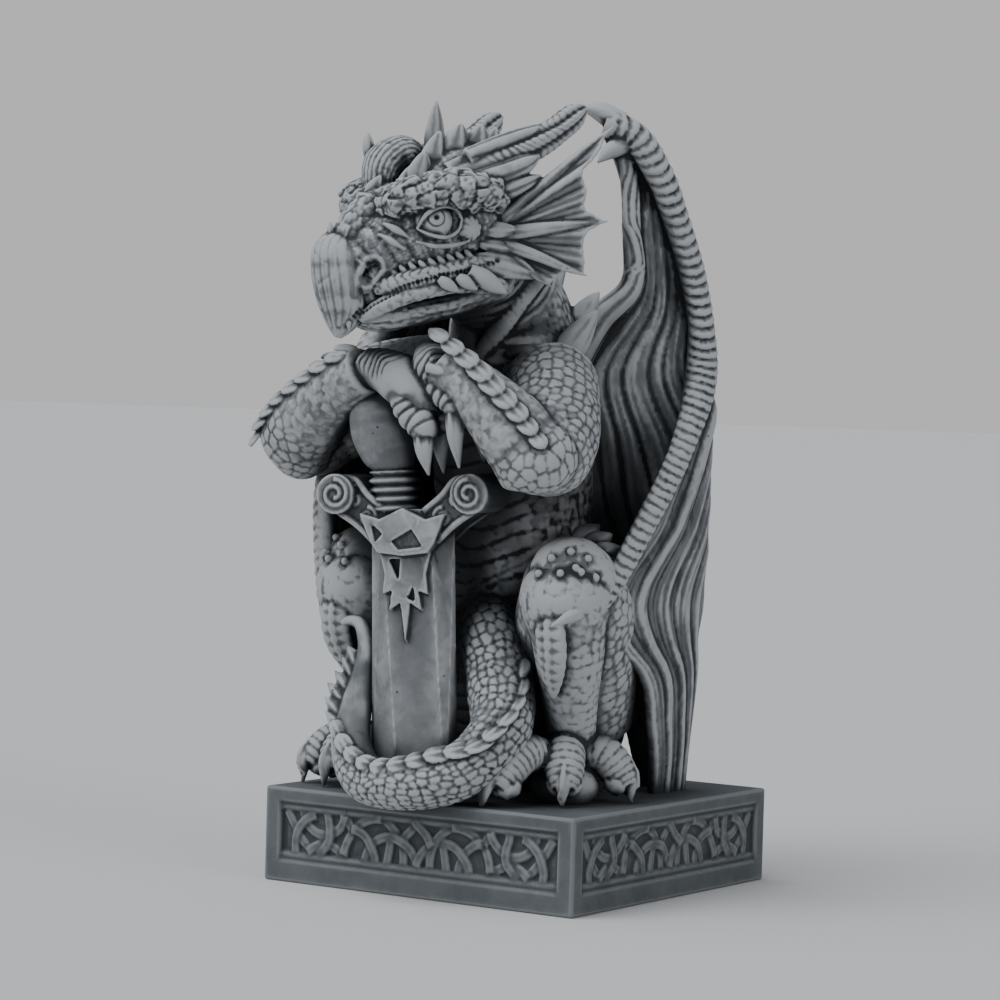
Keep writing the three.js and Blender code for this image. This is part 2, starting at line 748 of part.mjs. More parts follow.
const GUARD_OUTLINE = [
  [0, GUARD_LEVEL - 16],
  [15, GUARD_LEVEL - 14],
  [26, GUARD_LEVEL - 4],
  [GUARD_REACH, GUARD_LEVEL + 2],
  [GUARD_REACH, GUARD_LEVEL + 21],
  [27, GUARD_LEVEL + 20],
  [20, GUARD_LEVEL + 12],
  [10, GUARD_LEVEL + 4],
  [0, GUARD_LEVEL + 4],
];
const BOSS_OUTLINE = [
  [0, GUARD_LEVEL - 19],
  [13.4, GUARD_LEVEL - 17.5],
  [17, GUARD_LEVEL - 12.5],
  [23, GUARD_LEVEL + 2],
  [12.3, GUARD_LEVEL - 1],
  [0, GUARD_LEVEL + 4.6],
];
const SPIKES_OUTLINE = [
  [0, GUARD_LEVEL - 60],
  [4, GUARD_LEVEL - 34],
  [11, GUARD_LEVEL - 38],
  [12, GUARD_LEVEL - 16],
  [0, GUARD_LEVEL - 16],
];

function scroll(side) {
  const ends = [-SCROLL_LENGTH / 2, SCROLL_LENGTH / 2];
  const stations = ends.map((back) => [side * GUARD_REACH, back, GUARD_LEVEL + 11.5, SCROLL_RADIUS]);
  return limb(stations, { place: onSword });
}

function sword() {
  const blade = skin([bladeSection(-6, 23.5, 12.5, 9, 8), bladeSection(GUARD_LEVEL, 22.5, 13.3, 8, -1)]);
  const rings = Array.from({ length: GRIP_RINGS }, (_, i) => {
    const level = GUARD_LEVEL + 2 + i * GRIP_PITCH;
    return [
      [-9.5, 0, level, 10.4],
      [-10, 0, level + GRIP_PITCH / 2, 12.6],
    ];
  });
  const pommel = [
    [-11, 0, 165, 11],
    [-13, 0, 173, 14.5],
    [-16, 0, 186, 16.5],
    [-18, 0, 198, 13],
    [-19, 0, 204, 6],
  ];
  return [
    blade,
    swordPlate(GUARD_OUTLINE, GUARD_THICK),
    swordPlate(BOSS_OUTLINE, BOSS_THICK),
    swordPlate(SPIKES_OUTLINE, SPIKES_THICK),
    ...bothSides(scroll),
    limb(rings.flat(), { place: onSword, upright: SWORD_BACK, sides: 7 }),
    limb(pommel, { place: onSword, upright: SWORD_BACK }),
  ];
}

// The figure is one casting: everything joined, then cut off where it meets the plinth

function dragon() {
  const parts = [torso(), leg(1, LEFT_TOES), leg(-1, RIGHT_TOES), arms(), tail(), wings(), head(), sword()];
  const whole = joined(parts.flat());
  const below = slab(PLINTH_WIDTH + 2 * SEAT_GAP, PLINTH_DEPTH + 2 * SEAT_GAP, PLINTH_HEIGHT + SEAT_GAP);
  const seat = solidOf(below.translate(0, 0, (PLINTH_HEIGHT + SEAT_GAP) / 2));
  const cut = whole.subtract(seat);
  const pieces = cut.decompose();
  return pieces.reduce((largest, next) => (next.volume() > largest.volume() ? next : largest));
}

const stone = (color, roughness) => new THREE.MeshStandardMaterial({ color, roughness, metalness: 0 });

function named(name, solid, material) {
  const mesh = new THREE.Mesh(geometryOf(solid), material);
  mesh.name = name;
  return mesh;
}

const statue = new THREE.Group();
statue.add(named("plinth", plinth(), stone(0x6c7072, 0.85)));
statue.add(named("dragon", dragon(), stone(0x7c8082, 0.75)));

export default statue;
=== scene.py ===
# %% [markdown]
# # A cast stone dragon on a knotwork plinth
# The statue is one casting about 40 cm tall: a dragon that squats with its chin on its folded hands and
# its hands on the pommel of a sword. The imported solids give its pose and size. Here the same forms are
# modelled again with their scales, folds, wrinkles and plates, and they stand in for the solids.

# %% Frame
import math
import bpy
import numpy as np
from mathutils import Matrix, Vector, bvhtree, geometry


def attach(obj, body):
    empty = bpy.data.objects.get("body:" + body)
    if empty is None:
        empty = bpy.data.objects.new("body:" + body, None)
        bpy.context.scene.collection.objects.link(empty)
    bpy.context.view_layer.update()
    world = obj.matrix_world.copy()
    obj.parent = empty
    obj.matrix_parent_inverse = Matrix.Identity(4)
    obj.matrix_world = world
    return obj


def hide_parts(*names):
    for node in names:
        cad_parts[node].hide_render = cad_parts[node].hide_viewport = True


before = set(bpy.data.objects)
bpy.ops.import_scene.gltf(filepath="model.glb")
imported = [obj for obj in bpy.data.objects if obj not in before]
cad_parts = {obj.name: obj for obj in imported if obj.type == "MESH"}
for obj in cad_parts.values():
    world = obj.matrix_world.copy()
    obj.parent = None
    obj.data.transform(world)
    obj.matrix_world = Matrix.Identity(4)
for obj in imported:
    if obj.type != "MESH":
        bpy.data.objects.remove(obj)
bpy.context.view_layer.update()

MM = 0.001
PLINTH_HEIGHT = 48.0

# %% [markdown]
# ## The camera and the stage
# The camera stands where the photographer stood: about 1.7 m away and a little above the plinth, with a
# long lens. The whole picture leans by a degree and a half, so the camera is rolled as much.

# %% Camera
CAMERA_PLACE = Vector((0.9583, -1.4578, 0.2496))
CAMERA_TARGET = Vector((-0.0119, -0.0080, 0.1955))
CAMERA_ROLL = math.radians(1.655)
CAMERA_LENS = 122.15
CAMERA_SENSOR = 36.0

camera_data = bpy.data.cameras.new("camera")
camera_data.lens = CAMERA_LENS
camera_data.sensor_width = CAMERA_SENSOR
camera = bpy.data.objects.new("camera", camera_data)
bpy.context.scene.collection.objects.link(camera)
aim = (CAMERA_TARGET - CAMERA_PLACE).to_track_quat("-Z", "Y")
camera.matrix_world = Matrix.LocRotScale(CAMERA_PLACE, aim, None) @ Matrix.Rotation(CAMERA_ROLL, 4, "Z")
bpy.context.scene.camera = camera
print("camera", round((CAMERA_TARGET - CAMERA_PLACE).length, 3), "m from the statue")

# %% Floor and light
FLOOR_SIZE = 60.0
FLOOR_COLOR = (0.6, 0.6, 0.6, 1)
FLOOR_ROUGHNESS = 0.9
SKY_COLOR = (0.86, 0.92, 1.0, 1)
SKY_STRENGTH = 0.26
SEEN_STRENGTH = 0.72
LIGHT_AIM = Vector((0, 0, 0.2))
LIGHTS = [
    ("overcast", (-0.5, -0.7, 2.2), 2.2, 50, (0.95, 0.98, 1.0)),
    ("front_left", (-0.9, -1.6, 1.0), 0.8, 40, (1.0, 0.99, 0.97)),
    ("right", (2.0, -0.3, 1.0), 0.7, 30, (1.0, 0.98, 0.96)),
]

bpy.ops.object.select_all(action="DESELECT")
bpy.ops.mesh.primitive_plane_add(size=FLOOR_SIZE)
floor = bpy.context.object
floor.name = "floor"
floor_paint = bpy.data.materials.new("pale_floor")
floor_paint.use_nodes = True
floor_shader = floor_paint.node_tree.nodes["Principled BSDF"]
floor_shader.inputs["Base Color"].default_value = FLOOR_COLOR
floor_shader.inputs["Roughness"].default_value = FLOOR_ROUGHNESS
floor.data.materials.append(floor_paint)

world = bpy.data.worlds.new("soft_sky")
bpy.context.scene.world = world
world.use_nodes = True
sky_nodes, sky_links = world.node_tree.nodes, world.node_tree.links
lit, seen = sky_nodes["Background"], sky_nodes.new("ShaderNodeBackground")
lit.inputs["Color"].default_value = SKY_COLOR
lit.inputs["Strength"].default_value = SKY_STRENGTH
seen.inputs["Strength"].default_value = SEEN_STRENGTH
either, path = sky_nodes.new("ShaderNodeMixShader"), sky_nodes.new("ShaderNodeLightPath")
sky_links.new(path.outputs["Is Camera Ray"], either.inputs["Fac"])
sky_links.new(lit.outputs["Background"], either.inputs[1])
sky_links.new(seen.outputs["Background"], either.inputs[2])
sky_links.new(either.outputs["Shader"], sky_nodes["World Output"].inputs["Surface"])


def soft_light(name, place, strength, spread, color):
    """A broad even light that shines from a place towards the statue."""
    data = bpy.data.lights.new(name, "SUN")
    data.angle = math.radians(spread)
    data.energy = strength
    data.color = color
    light = bpy.data.objects.new(name, data)
    towards = (LIGHT_AIM - Vector(place)).to_track_quat("-Z", "Y")
    light.matrix_world = Matrix.LocRotScale(Vector(place), towards, None)
    bpy.context.scene.collection.objects.link(light)


for light in LIGHTS:
    soft_light(*light)
print(len(LIGHTS), "soft lights and an even sky")

# %% [markdown]
# ## Shapes from stations
# A sculptor builds such a figure from rolls of clay. Each roll here is a row of stations, a centre with
# a half width and a half height, that a smooth line runs through. A limb could also be extruded from a
# cylinder in edit mode, but its scales would then have to be placed one by one. Here the carving is a
# function of the place along and around the roll, so that scales and rings follow the limb. Rolls are
# made as closed skins, and a voxel remesh then melts them into one casting, as a mould does.

# %% Rolls of clay
UP = (0.0, 0.0, 1.0)
FRONT = (0.0, -1.0, 0.0)
PITCH = 0.9
FINE = 0.6
THINNEST = 0.15
FEWEST_RINGS = 6
SIDES = (10, 260)


def at(points):
    """The figure's points, which count up from the middle of the plinth's top."""
    return np.asarray(points, float) + [0, 0, PLINTH_HEIGHT]


def unit(vectors):
    """Vectors at a length of one."""
    return vectors / np.maximum(np.linalg.norm(vectors, axis=-1, keepdims=True), 1e-9)


def spline(rows, count):
    """Rows of numbers run smoothly through, at even steps of the distance between their first three."""
    rows = np.asarray(rows, float)
    knots = np.append(0, np.cumsum(np.linalg.norm(np.diff(rows[:, :3], axis=0), axis=1)))
    slopes = np.gradient(rows, knots, axis=0)
    s = np.linspace(0, knots[-1], count)
    i = np.clip(np.searchsorted(knots, s, side="right") - 1, 0, len(rows) - 2)
    span = (knots[i + 1] - knots[i])[:, None]
    t = (s - knots[i])[:, None] / span
    start = (2 * t**3 - 3 * t**2 + 1) * rows[i] + (t**3 - 2 * t**2 + t) * span * slopes[i]
    end = (3 * t**2 - 2 * t**3) * rows[i + 1] + (t**3 - t**2) * span * slopes[i + 1]
    return start + end, s


def grid_faces(count, sides, wrap=True):
    """Quads over a grid of points, as triangles."""
    row, col = np.meshgrid(np.arange(count - 1), np.arange(sides if wrap else sides - 1), indexing="ij")
    a = (row * sides + col).ravel()
    b = (row * sides + (col + 1) % sides).ravel()
    return np.concatenate([np.stack([a, b, b + sides], 1), np.stack([a, b + sides, a + sides], 1)])


def roll(stations, place=at, upright=UP, relief=None, pitch=PITCH, sides=0):
    """A closed limb through stations [x, y, z, half width, half height]."""
    rows = np.array([list(s) + [s[3]] if len(s) == 4 else s for s in stations], float)
    rows[:, :3] = place(rows[:, :3])
    length = np.linalg.norm(np.diff(rows[:, :3], axis=0), axis=1).sum()
    count = max(int(length / pitch), FEWEST_RINGS)
    line, s = spline(rows, count)
    sides = sides or int(np.clip(2 * np.pi * rows[:, 3:].max() / pitch, *SIDES))
    ahead = unit(np.gradient(line[:, :3], axis=0))
    across = unit(np.cross(ahead, upright))[:, None]
    over = np.cross(across, ahead[:, None])
    angle = 2 * np.pi * np.arange(sides)[None] / sides
    wide, high = np.maximum(line[:, 3:4], THINNEST), np.maximum(line[:, 4:5], THINNEST)
    c, d = np.cos(angle)[..., None], np.sin(angle)[..., None]
    ring = line[:, None, :3] + across * c * wide[..., None] + over * d * high[..., None]
    if relief is not None:
        outward = unit(across * c / wide[..., None] + over * d / high[..., None])
        lift = relief(s[:, None], angle, (wide + high) / 2)
        ring = ring + outward * np.broadcast_to(lift, ring.shape[:2])[..., None]
    faces = grid_faces(count, sides)
    ends = np.stack([line[0, :3], line[-1, :3]])
    first, k = count * sides, np.arange(sides)
    n = (k + 1) % sides
    last = (count - 1) * sides
    caps = [np.stack([k * 0 + first, n, k], 1), np.stack([k * 0 + first + 1, last + k, last + n], 1)]
    return np.concatenate([ring.reshape(-1, 3), ends]), np.concatenate([faces, *caps])[:, ::-1]


def ball(centre, sizes, place=at, axes=None, steps=16):
    """An ellipsoid with its three half sizes along a frame's axes."""
    lat = np.linspace(-np.pi / 2, np.pi / 2, steps + 1)[1:-1, None]
    lon = 2 * np.pi * np.arange(2 * steps)[None] / (2 * steps)
    round_ = np.stack([np.cos(lat) * np.cos(lon), np.cos(lat) * np.sin(lon), np.sin(lat) + 0 * lon], -1)
    points = np.concatenate([round_.reshape(-1, 3), [[0, 0, -1], [0, 0, 1]]]) * sizes
    points = points @ np.asarray(np.eye(3) if axes is None else axes, float)
    sides, k = 2 * steps, np.arange(2 * steps)
    n = (k + 1) % sides
    first = (steps - 1) * sides
    last = first - sides
    caps = [np.stack([k * 0 + first, n, k], 1), np.stack([k * 0 + first + 1, last + k, last + n], 1)]
    return points + place([centre])[0], np.concatenate([grid_faces(steps - 1, sides), *caps])


def wall(points, thickness):
    """A wall over a grid of points, as thick at each as stated."""
    down = np.gradient(points, axis=0)
    over = np.gradient(points, axis=1)
    normal = unit(np.cross(down, over))
    half = normal * (np.broadcast_to(thickness, points.shape[:2])[..., None] / 2)
    count, width = points.shape[:2]
    faces = grid_faces(count, width, wrap=False)
    back = faces[:, ::-1] + count * width
    rim = np.concatenate(
        [
            np.arange(width),
            np.arange(1, count) * width + width - 1,
            (count - 1) * width + np.arange(width - 1)[::-1],
            np.arange(1, count - 1)[::-1] * width,
        ]
    )
    n = np.roll(rim, -1)
    size = count * width
    edge = np.concatenate([np.stack([rim, rim + size, n + size], 1), np.stack([rim, n + size, n], 1)])
    sides = [(points + half).reshape(-1, 3), (points - half).reshape(-1, 3)]
    return np.concatenate(sides), np.concatenate([faces, back, edge])[:, ::-1]


HORN_TAPER = (1, 0.72, 0.08)


def horn(start, bend, end, radius, **options):
    """A horn, claw or spike that tapers to a point through its bend."""
    rows = [[*place, radius * share] for place, share in zip((start, bend, end), HORN_TAPER)]
    return roll(rows, **options)


SCUTE_SHAPE = [(0, 0.45), (0.2, 0.85), (0.42, 1), (0.7, 0.72), (0.9, 0.34), (1, 0.08)]
SCUTE_RIB = 0.12


def scute(root, tip, width, thick=0.35, **options):
    """A leaf-shaped plate with a rib down its back, from its root to its tip."""
    root, tip = np.asarray(root, float), np.asarray(tip, float)
    rows = [[*(root + (tip - root) * t), width * w, width * w * thick] for t, w in SCUTE_SHAPE]
    return roll(rows, relief=rib(width * SCUTE_RIB), sides=16, **options)


def scutes(rows, side, **options):
    """Plates of rows [root, tip, width] on the dragon's left side, or with side -1 on its right."""
    return [
        scute((x * side, y, z), (tx * side, ty, tz), width, **options)
        for x, y, z, tx, ty, tz, width in rows
    ]


# %% [markdown]
# ## Carving
# Each kind of carving gives how far the clay stands out at a place along (s) and around (angle) a roll.

# %% Kinds of carving
TURN = 2 * np.pi


def smooth_step(low, high, value):
    """0 below the low end, 1 above the high one, and a soft rise between them."""
    t = np.clip((value - low) / (high - low), 0, 1)
    return t * t * (3 - 2 * t)


RIB_WIDTH = 0.1


def rib(height):
    """A raised line along the top of a roll."""

    def relief(s, angle, girth):
        off = np.abs(np.sin((angle - TURN / 4) / 2))
        return height * np.exp(-((off / RIB_WIDTH) ** 2))

    return relief


def facing(angle, towards, width):
    """1 where a roll faces the angle that is named in degrees, and 0 beyond the stated half width."""
    off = np.abs((angle - math.radians(towards) + np.pi) % TURN - np.pi)
    return 1 - smooth_step(math.radians(width) * 0.75, math.radians(width) * 1.25, off)


def rings(pitch, depth, slant=0.0, sharp=3.0, seed=0):
    """Wrinkles around a roll."""

    def relief(s, angle, girth):
        wobble = 0.25 * np.sin(3 * angle + seed) + 0.2 * np.sin(5 * angle + 2 * seed + s / pitch)
        phase = s / pitch + slant * np.sin(angle) + wobble
        return -depth * (0.5 + 0.5 * np.cos(TURN * phase)) ** sharp

    return relief


def bands(pitch, height):
    """Plump rings side by side with a sharp furrow between each two."""
    return lambda s, angle, girth: height * (np.abs(np.sin(np.pi * s / pitch)) ** 0.5 - 0.7) + 0 * angle


def crescents(pitch, height, towards, curve=0.9, width=75):
    """A row of crescent scales, each tucked under the one before it."""

    def relief(s, angle, girth):
        off = (angle - math.radians(towards) + np.pi) % TURN - np.pi
        phase = s / pitch + curve * np.clip(np.abs(off) / math.radians(width), 0, 1) ** 2
        return height * (phase % 1) * facing(angle, towards, width)

    return relief


def grooves(count, depth, twist=0.0, sharp=3.0):
    """Furrows along a roll."""

    def relief(s, angle, girth):
        wave = 0.3 * np.sin(s / 11.0 + 3 * angle)
        return -depth * (0.5 + 0.5 * np.cos(count * angle + twist * s + wave)) ** sharp

    return relief


CELL_ROWS = 128
CELL_SPREAD, CELL_MARGIN = 0.7, 0.15


def cells(s, angle, girth, size, seed, stretch=1.0):
    """Many-sided cells over a roll: how near the two nearest middles are, the way there, and a draw."""
    around = max(5, int(round(TURN * float(np.mean(girth)) / size)))
    draws = np.random.default_rng(seed).random((CELL_ROWS, around, 5))
    u = s / (size * stretch) + 0 * angle
    v = angle / TURN * around + 0 * s
    row, col = np.floor(u).astype(int), np.floor(v).astype(int)
    near, second = np.full(u.shape, 9.0), np.full(u.shape, 9.0)
    way, draw = np.zeros((*u.shape, 2)), np.zeros((*u.shape, 3))
    for dr in (-1, 0, 1):
        for dc in (-1, 0, 1):
            spot = draws[(row + dr) % CELL_ROWS, (col + dc) % around]
            du = u - row - dr - spot[..., 0] * CELL_SPREAD - CELL_MARGIN
            dv = v - col - dc - spot[..., 1] * CELL_SPREAD - CELL_MARGIN
            far = np.hypot(du, dv)
            closer = far < near
            second = np.where(closer, near, np.minimum(second, far))
            near = np.minimum(near, far)
            way[closer] = np.stack([du, dv], -1)[closer]
            draw[closer] = spot[..., 2:][closer]
    return near, second, way, draw


def cobbles(size, height, seed=1, stretch=1.0, gap=0.14):
    """Flat many-sided scales with narrow grooves between them."""

    def relief(s, angle, girth):
        near, second, _, draw = cells(s, angle, girth, size, seed, stretch)
        groove = smooth_step(0.0, gap, second - near)
        return height * (groove * (0.95 - 0.4 * near**2 + 0.25 * draw[..., 0]) - 0.8)

    return relief


def crags(size, height, seed=1):
    """Rough flakes, each at its own level and slant."""

    def relief(s, angle, girth):
        near, second, way, draw = cells(s, angle, girth, size, seed)
        slant = (way * (draw[..., 1:] - 0.5)).sum(-1) * 2.6
        return height * (draw[..., 0] * 0.9 + slant - 0.5 + 0.25 * smooth_step(0, 0.15, second - near))

    return relief


def both(*reliefs):
    """Kinds of carving on top of each other."""
    return lambda s, angle, girth: sum(r(s, angle, girth) for r in reliefs)


def where(relief, towards, width, start=-1e9, end=1e9, fade=6.0):
    """Carving kept to one side of a roll, and to a stretch of it."""

    def masked(s, angle, girth):
        begun = smooth_step(start - fade, start + fade, s)
        ended = smooth_step(end - fade, end + fade, s)
        side = 1 if width >= 180 else facing(angle, towards, width)
        return relief(s, angle, girth) * (begun * (1 - ended)) * side

    return masked


# %% [markdown]
# ## Casting
# The real statue comes out of one mould, so limbs, scales and plates run into each other without a seam.
# It could be sculpted by hand or joined by booleans. Here the rolls of one piece are joined, melted
# together by a voxel remesh and smoothed a little, which gives the same closed skin at each run. Decimate
# then spends the triangles where the carving is. Two numbers are kept at each point for the finish: how
# hollow the surface is there, and how much of the sky it sees.
# The finish paints shade into the colour from both numbers.

# %% Casting helpers
solid_points, solid_faces = [], []
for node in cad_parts.values():
    first = len(solid_points)
    solid_points += [v.co.copy() for v in node.data.vertices]
    solid_faces += [[first + i for i in polygon.vertices] for polygon in node.data.polygons]
SOLIDS = bvhtree.BVHTree.FromPolygons(solid_points, solid_faces)


def new_object(name, vertices, faces):
    """An object from arrays of points and of faces that have equally many corners."""
    mesh = bpy.data.meshes.new(name)
    mesh.vertices.add(len(vertices))
    mesh.vertices.foreach_set("co", np.asarray(vertices, np.float32).ravel())
    mesh.loops.add(faces.size)
    mesh.loops.foreach_set("vertex_index", faces.astype(np.int32).ravel())
    mesh.polygons.add(len(faces))
    mesh.polygons.foreach_set("loop_start", np.arange(len(faces), dtype=np.int32) * faces.shape[1])
    mesh.update(calc_edges=True)
    made = bpy.data.objects.new(name, mesh)
    bpy.context.scene.collection.objects.link(made)
    return made


def modify(piece, kind, **settings):
    """Adds a modifier and applies it."""
    bpy.ops.object.select_all(action="DESELECT")
    bpy.context.view_layer.objects.active = piece
    piece.select_set(True)
    modifier = piece.modifiers.new(kind.lower(), kind)
    for name, value in settings.items():
        setattr(modifier, name, value)
    bpy.ops.object.modifier_apply(modifier=modifier.name)


def fetched(items, name, width, kind=np.float32):
    """One attribute of many mesh items, as rows of numbers."""
    values = np.empty(len(items) * width, kind)
    items.foreach_get(name, values)
    return values.reshape(-1, width)


def places(mesh):
    return fetched(mesh.vertices, "co", 3).astype(float)


def normals(mesh):
    return fetched(mesh.vertex_normals, "vector", 3).astype(float)


def links(mesh):
    return fetched(mesh.edges, "vertices", 2, np.int32)


CRUMB_SHARE = 0.01


def drop_crumbs(piece):
    """Drops the connected parts of a mesh that are only crumbs of it."""
    mesh = piece.data
    pairs = links(mesh)
    label = np.arange(len(mesh.vertices))
    settled = False
    while not settled:
        low = np.minimum(label[pairs[:, 0]], label[pairs[:, 1]])
        new = label.copy()
        np.minimum.at(new, pairs[:, 0], low)
        np.minimum.at(new, pairs[:, 1], low)
        new = new[new]
        settled = (new == label).all()
        label = new
    keep = np.bincount(label)[label] > CRUMB_SHARE * len(label)
    if keep.all():
        return
    sizes = fetched(mesh.polygons, "loop_total", 1, np.int32)
    assert (sizes == sizes[0]).all()
    faces = fetched(mesh.loops, "vertex_index", 1, np.int32).reshape(-1, sizes[0, 0])
    faces = faces[keep[faces[:, 0]]]
    number = np.cumsum(keep) - 1
    left = new_object(piece.name, places(mesh)[keep], number[faces])
    old_mesh = piece.data
    piece.data = left.data
    bpy.data.objects.remove(left)
    bpy.data.meshes.remove(old_mesh)


def averaged(values, pairs, times):
    """Each point's value blended with its neighbours', a number of times."""
    count = len(values)
    degree = np.bincount(pairs.ravel(), minlength=count)[:, None]
    for _ in range(times):
        total = np.zeros_like(values)
        for k in range(values.shape[1]):
            total[:, k] = np.bincount(pairs[:, 0], values[pairs[:, 1], k], count)
            total[:, k] += np.bincount(pairs[:, 1], values[pairs[:, 0], k], count)
        values = total / np.maximum(degree, 1)
    return values


# The finish paints shade from these numbers: hollows, and points that see little sky, are darkened in the
# colour. The sky share is an occlusion by the solids that leans upwards, so lower parts and places under
# or between parts come out darker.
SKY_RAYS = 9
SKY_REACH = 0.18
SKYWARD = np.array([0, -0.1, 0.55])
SKY_START = 0.004
SKY_LEAN = 0.5
SKY_SEED = 7
SKY_EVERY = 6
FEW_POINTS = 30000
FLAT = 0.5
FINE_BLENDS, WIDE_BLENDS = 3, 12
FINE_WEIGHT, WIDE_WEIGHT = 1.5, 0.2


def note_hollows(piece):
    """Stores how hollow each point is (0 to 1, 0.5 flat) and how much sky it sees (0 to 1); the finish
    paints shade from both.
    """
    mesh = piece.data
    co, n, pairs = places(mesh), normals(mesh), links(mesh)
    near = averaged(co, pairs, FINE_BLENDS)
    fine = ((co - near) * n).sum(1) / MM
    wide = ((co - averaged(near, pairs, WIDE_BLENDS)) * n).sum(1) / MM
    shape = np.clip(FLAT + fine * FINE_WEIGHT + wide * WIDE_WEIGHT, 0, 1)
    rng = np.random.default_rng(SKY_SEED)
    rays = unit(rng.normal(size=(SKY_RAYS, 3)))
    step = 1 if len(co) < FEW_POINTS else SKY_EVERY
    seen = np.zeros(len(co))
    for i in range(0, len(co), step):
        p = Vector(co[i] + n[i] * SKY_START)
        free = 0
        for ray in rays:
            way = ray if ray @ n[i] > 0 else -ray
            free += SOLIDS.ray_cast(p, Vector(way + n[i] * SKY_LEAN + SKYWARD), SKY_REACH)[0] is None
        seen[i : i + step] = free / SKY_RAYS
    seen = averaged(seen[:, None], pairs, WIDE_BLENDS)[:, 0]
    for name, values in (("hollow", shape), ("sky", seen)):
        attribute = mesh.attributes.new(name, "FLOAT", "POINT")
        attribute.data.foreach_set("value", values.astype(np.float32))


def cast(name, shells, voxel, triangles, carve=None):
    """Joins closed shells, melts them into one skin and thins it to its share of triangles."""
    counts = np.append(0, np.cumsum([len(v) for v, _ in shells]))[:-1]
    vertices = np.concatenate([v for v, _ in shells]) * MM
    faces = np.concatenate([f + c for (_, f), c in zip(shells, counts)])
    piece = new_object(name, vertices, faces)
    voxel_size = voxel * MM * 1
    modify(piece, "REMESH", mode="VOXEL", voxel_size=voxel_size, adaptivity=0)
    drop_crumbs(piece)
    modify(piece, "SMOOTH", factor=0.5, iterations=1)
    if carve is not None:
        co = places(piece.data) / MM
        moved = co + carve(co, normals(piece.data))
        piece.data.vertices.foreach_set("co", (moved * MM).astype(np.float32).ravel())
        piece.data.update()
    modify(piece, "TRIANGULATE")
    melted = len(piece.data.polygons)
    if melted > triangles:
        modify(piece, "DECIMATE", ratio=triangles / melted)
    drop_crumbs(piece)
    piece.data.polygons.foreach_set("use_smooth", np.ones(len(piece.data.polygons), bool))
    note_hollows(piece)
    size = (places(piece.data).max(0) - places(piece.data).min(0)) / MM
    print(name, melted, "->", len(piece.data.polygons), "triangles,", size.round(0), "mm")
    return piece


# %% [markdown]
# ## The trunk and the neck
# The trunk is one thick roll from the plinth up to the skull. Its flanks have small cobbled scales, the
# belly has broad bands, and the neck is wrinkled where it bends.

# %% Trunk
BACK = (0.0, 1.0, 0.0)
TORSO = [
    (0, 12, -6, 36, 34), (0, 10, 34, 50, 46), (0, 2, 84, 42, 42), (0, -10, 138, 38, 42),
    (0, -16, 184, 40, 42), (0, -14, 212, 37, 38), (-1, -16, 240, 29, 31), (-4, -36, 262, 27, 29),
    (-7, -62, 282, 25, 27),
]
BACK_RIDGE = [
    (0, 2, 246, -4, 36, 276), (0, 6, 218, 2, 48, 246), (0, 6, 192, 2, 50, 206),
    (0, 12, 160, 2, 56, 168), (0, 18, 126, 2, 63, 126), (0, 26, 88, 2, 70, 82),
]
BELLY, SPINE = 270, 90

FLANK_FOLDS = [
    [(31, -27, 158, 3), (15, -42, 150, 5.5), (-6, -46, 145, 4), (-14, -46, 143, 2)],
    [(32, -26, 147, 3), (18, -39, 136, 6.5), (-4, -45, 127, 5), (-14, -45, 123, 2)],
    [(33, -24, 133, 3), (22, -34, 121, 7), (4, -41, 109, 5.5), (-8, -43, 101, 2)],
    [(31, -22, 117, 3), (21, -30, 105, 6), (8, -37, 94, 4), (2, -39, 88, 2)],
]
NECK_CORD = [(26, -28, 266, 4), (19, -40, 250, 5), (9, -46, 233, 5), (0, -50, 220, 4)]
SHOULDER_FAN = [
    [(14, -44, 222, 2), (30, -50, 224, 3), (46, -50, 216, 2)],
    [(16, -48, 214, 2), (32, -56, 216, 3), (48, -58, 207, 2)],
]
NAPE_SCUTES = [(28, -22, 214, 44, -8, 246, 9.5), (24, -2, 232, 32, 12, 256, 8)]


def mirrored(rows, side):
    """Stations of the dragon's left side, or with side -1 of its right."""
    return [(row[0] * side, *row[1:]) for row in rows]


skin_of_trunk = both(
    where(cobbles(5.5, 0.7, seed=3), SPINE, 125, end=258),
    where(rings(9.0, 1.4, sharp=5), BELLY, 45, end=250),
    where(crags(7, 0.8, seed=8), SPINE, 180, start=100, end=170),
    where(rings(3.8, 1.2, slant=0.4, seed=2), SPINE, 180, start=262),
)
body_shells = [roll(TORSO, upright=BACK, relief=skin_of_trunk, pitch=0.7)]
folded = both(grooves(7, 0.9, twist=0.03), crags(6, 0.4, seed=9))
for side in (1, -1):
    body_shells += [roll(mirrored(fold, side), relief=folded, pitch=0.7) for fold in FLANK_FOLDS]
    body_shells.append(roll(mirrored(NECK_CORD, side), relief=rings(3.2, 0.6)))
    body_shells += [roll(mirrored(fold, side)) for fold in SHOULDER_FAN]
    body_shells += scutes(NAPE_SCUTES, side, upright=(side, -0.3, 0), thick=0.45)
for x, y, z, dx, tip_y, tip_z in BACK_RIDGE:
    body_shells.append(scute((x, y, z), (x + dx, tip_y, tip_z), 11, upright=(1, 0, 0), thick=0.4))
print("trunk and ridge:", len(body_shells), "rolls")

# %% [markdown]
# ## Legs and feet
# The thighs point forwards, the shins come down behind the sword, and each foot has three clawed toes.
# The knees carry round studs and pointed plates, the shins a long ribbed leaf, and the toes rings of
# wrinkles. The two legs are mirrored, but the toes are set out for each foot, as they are on the statue.

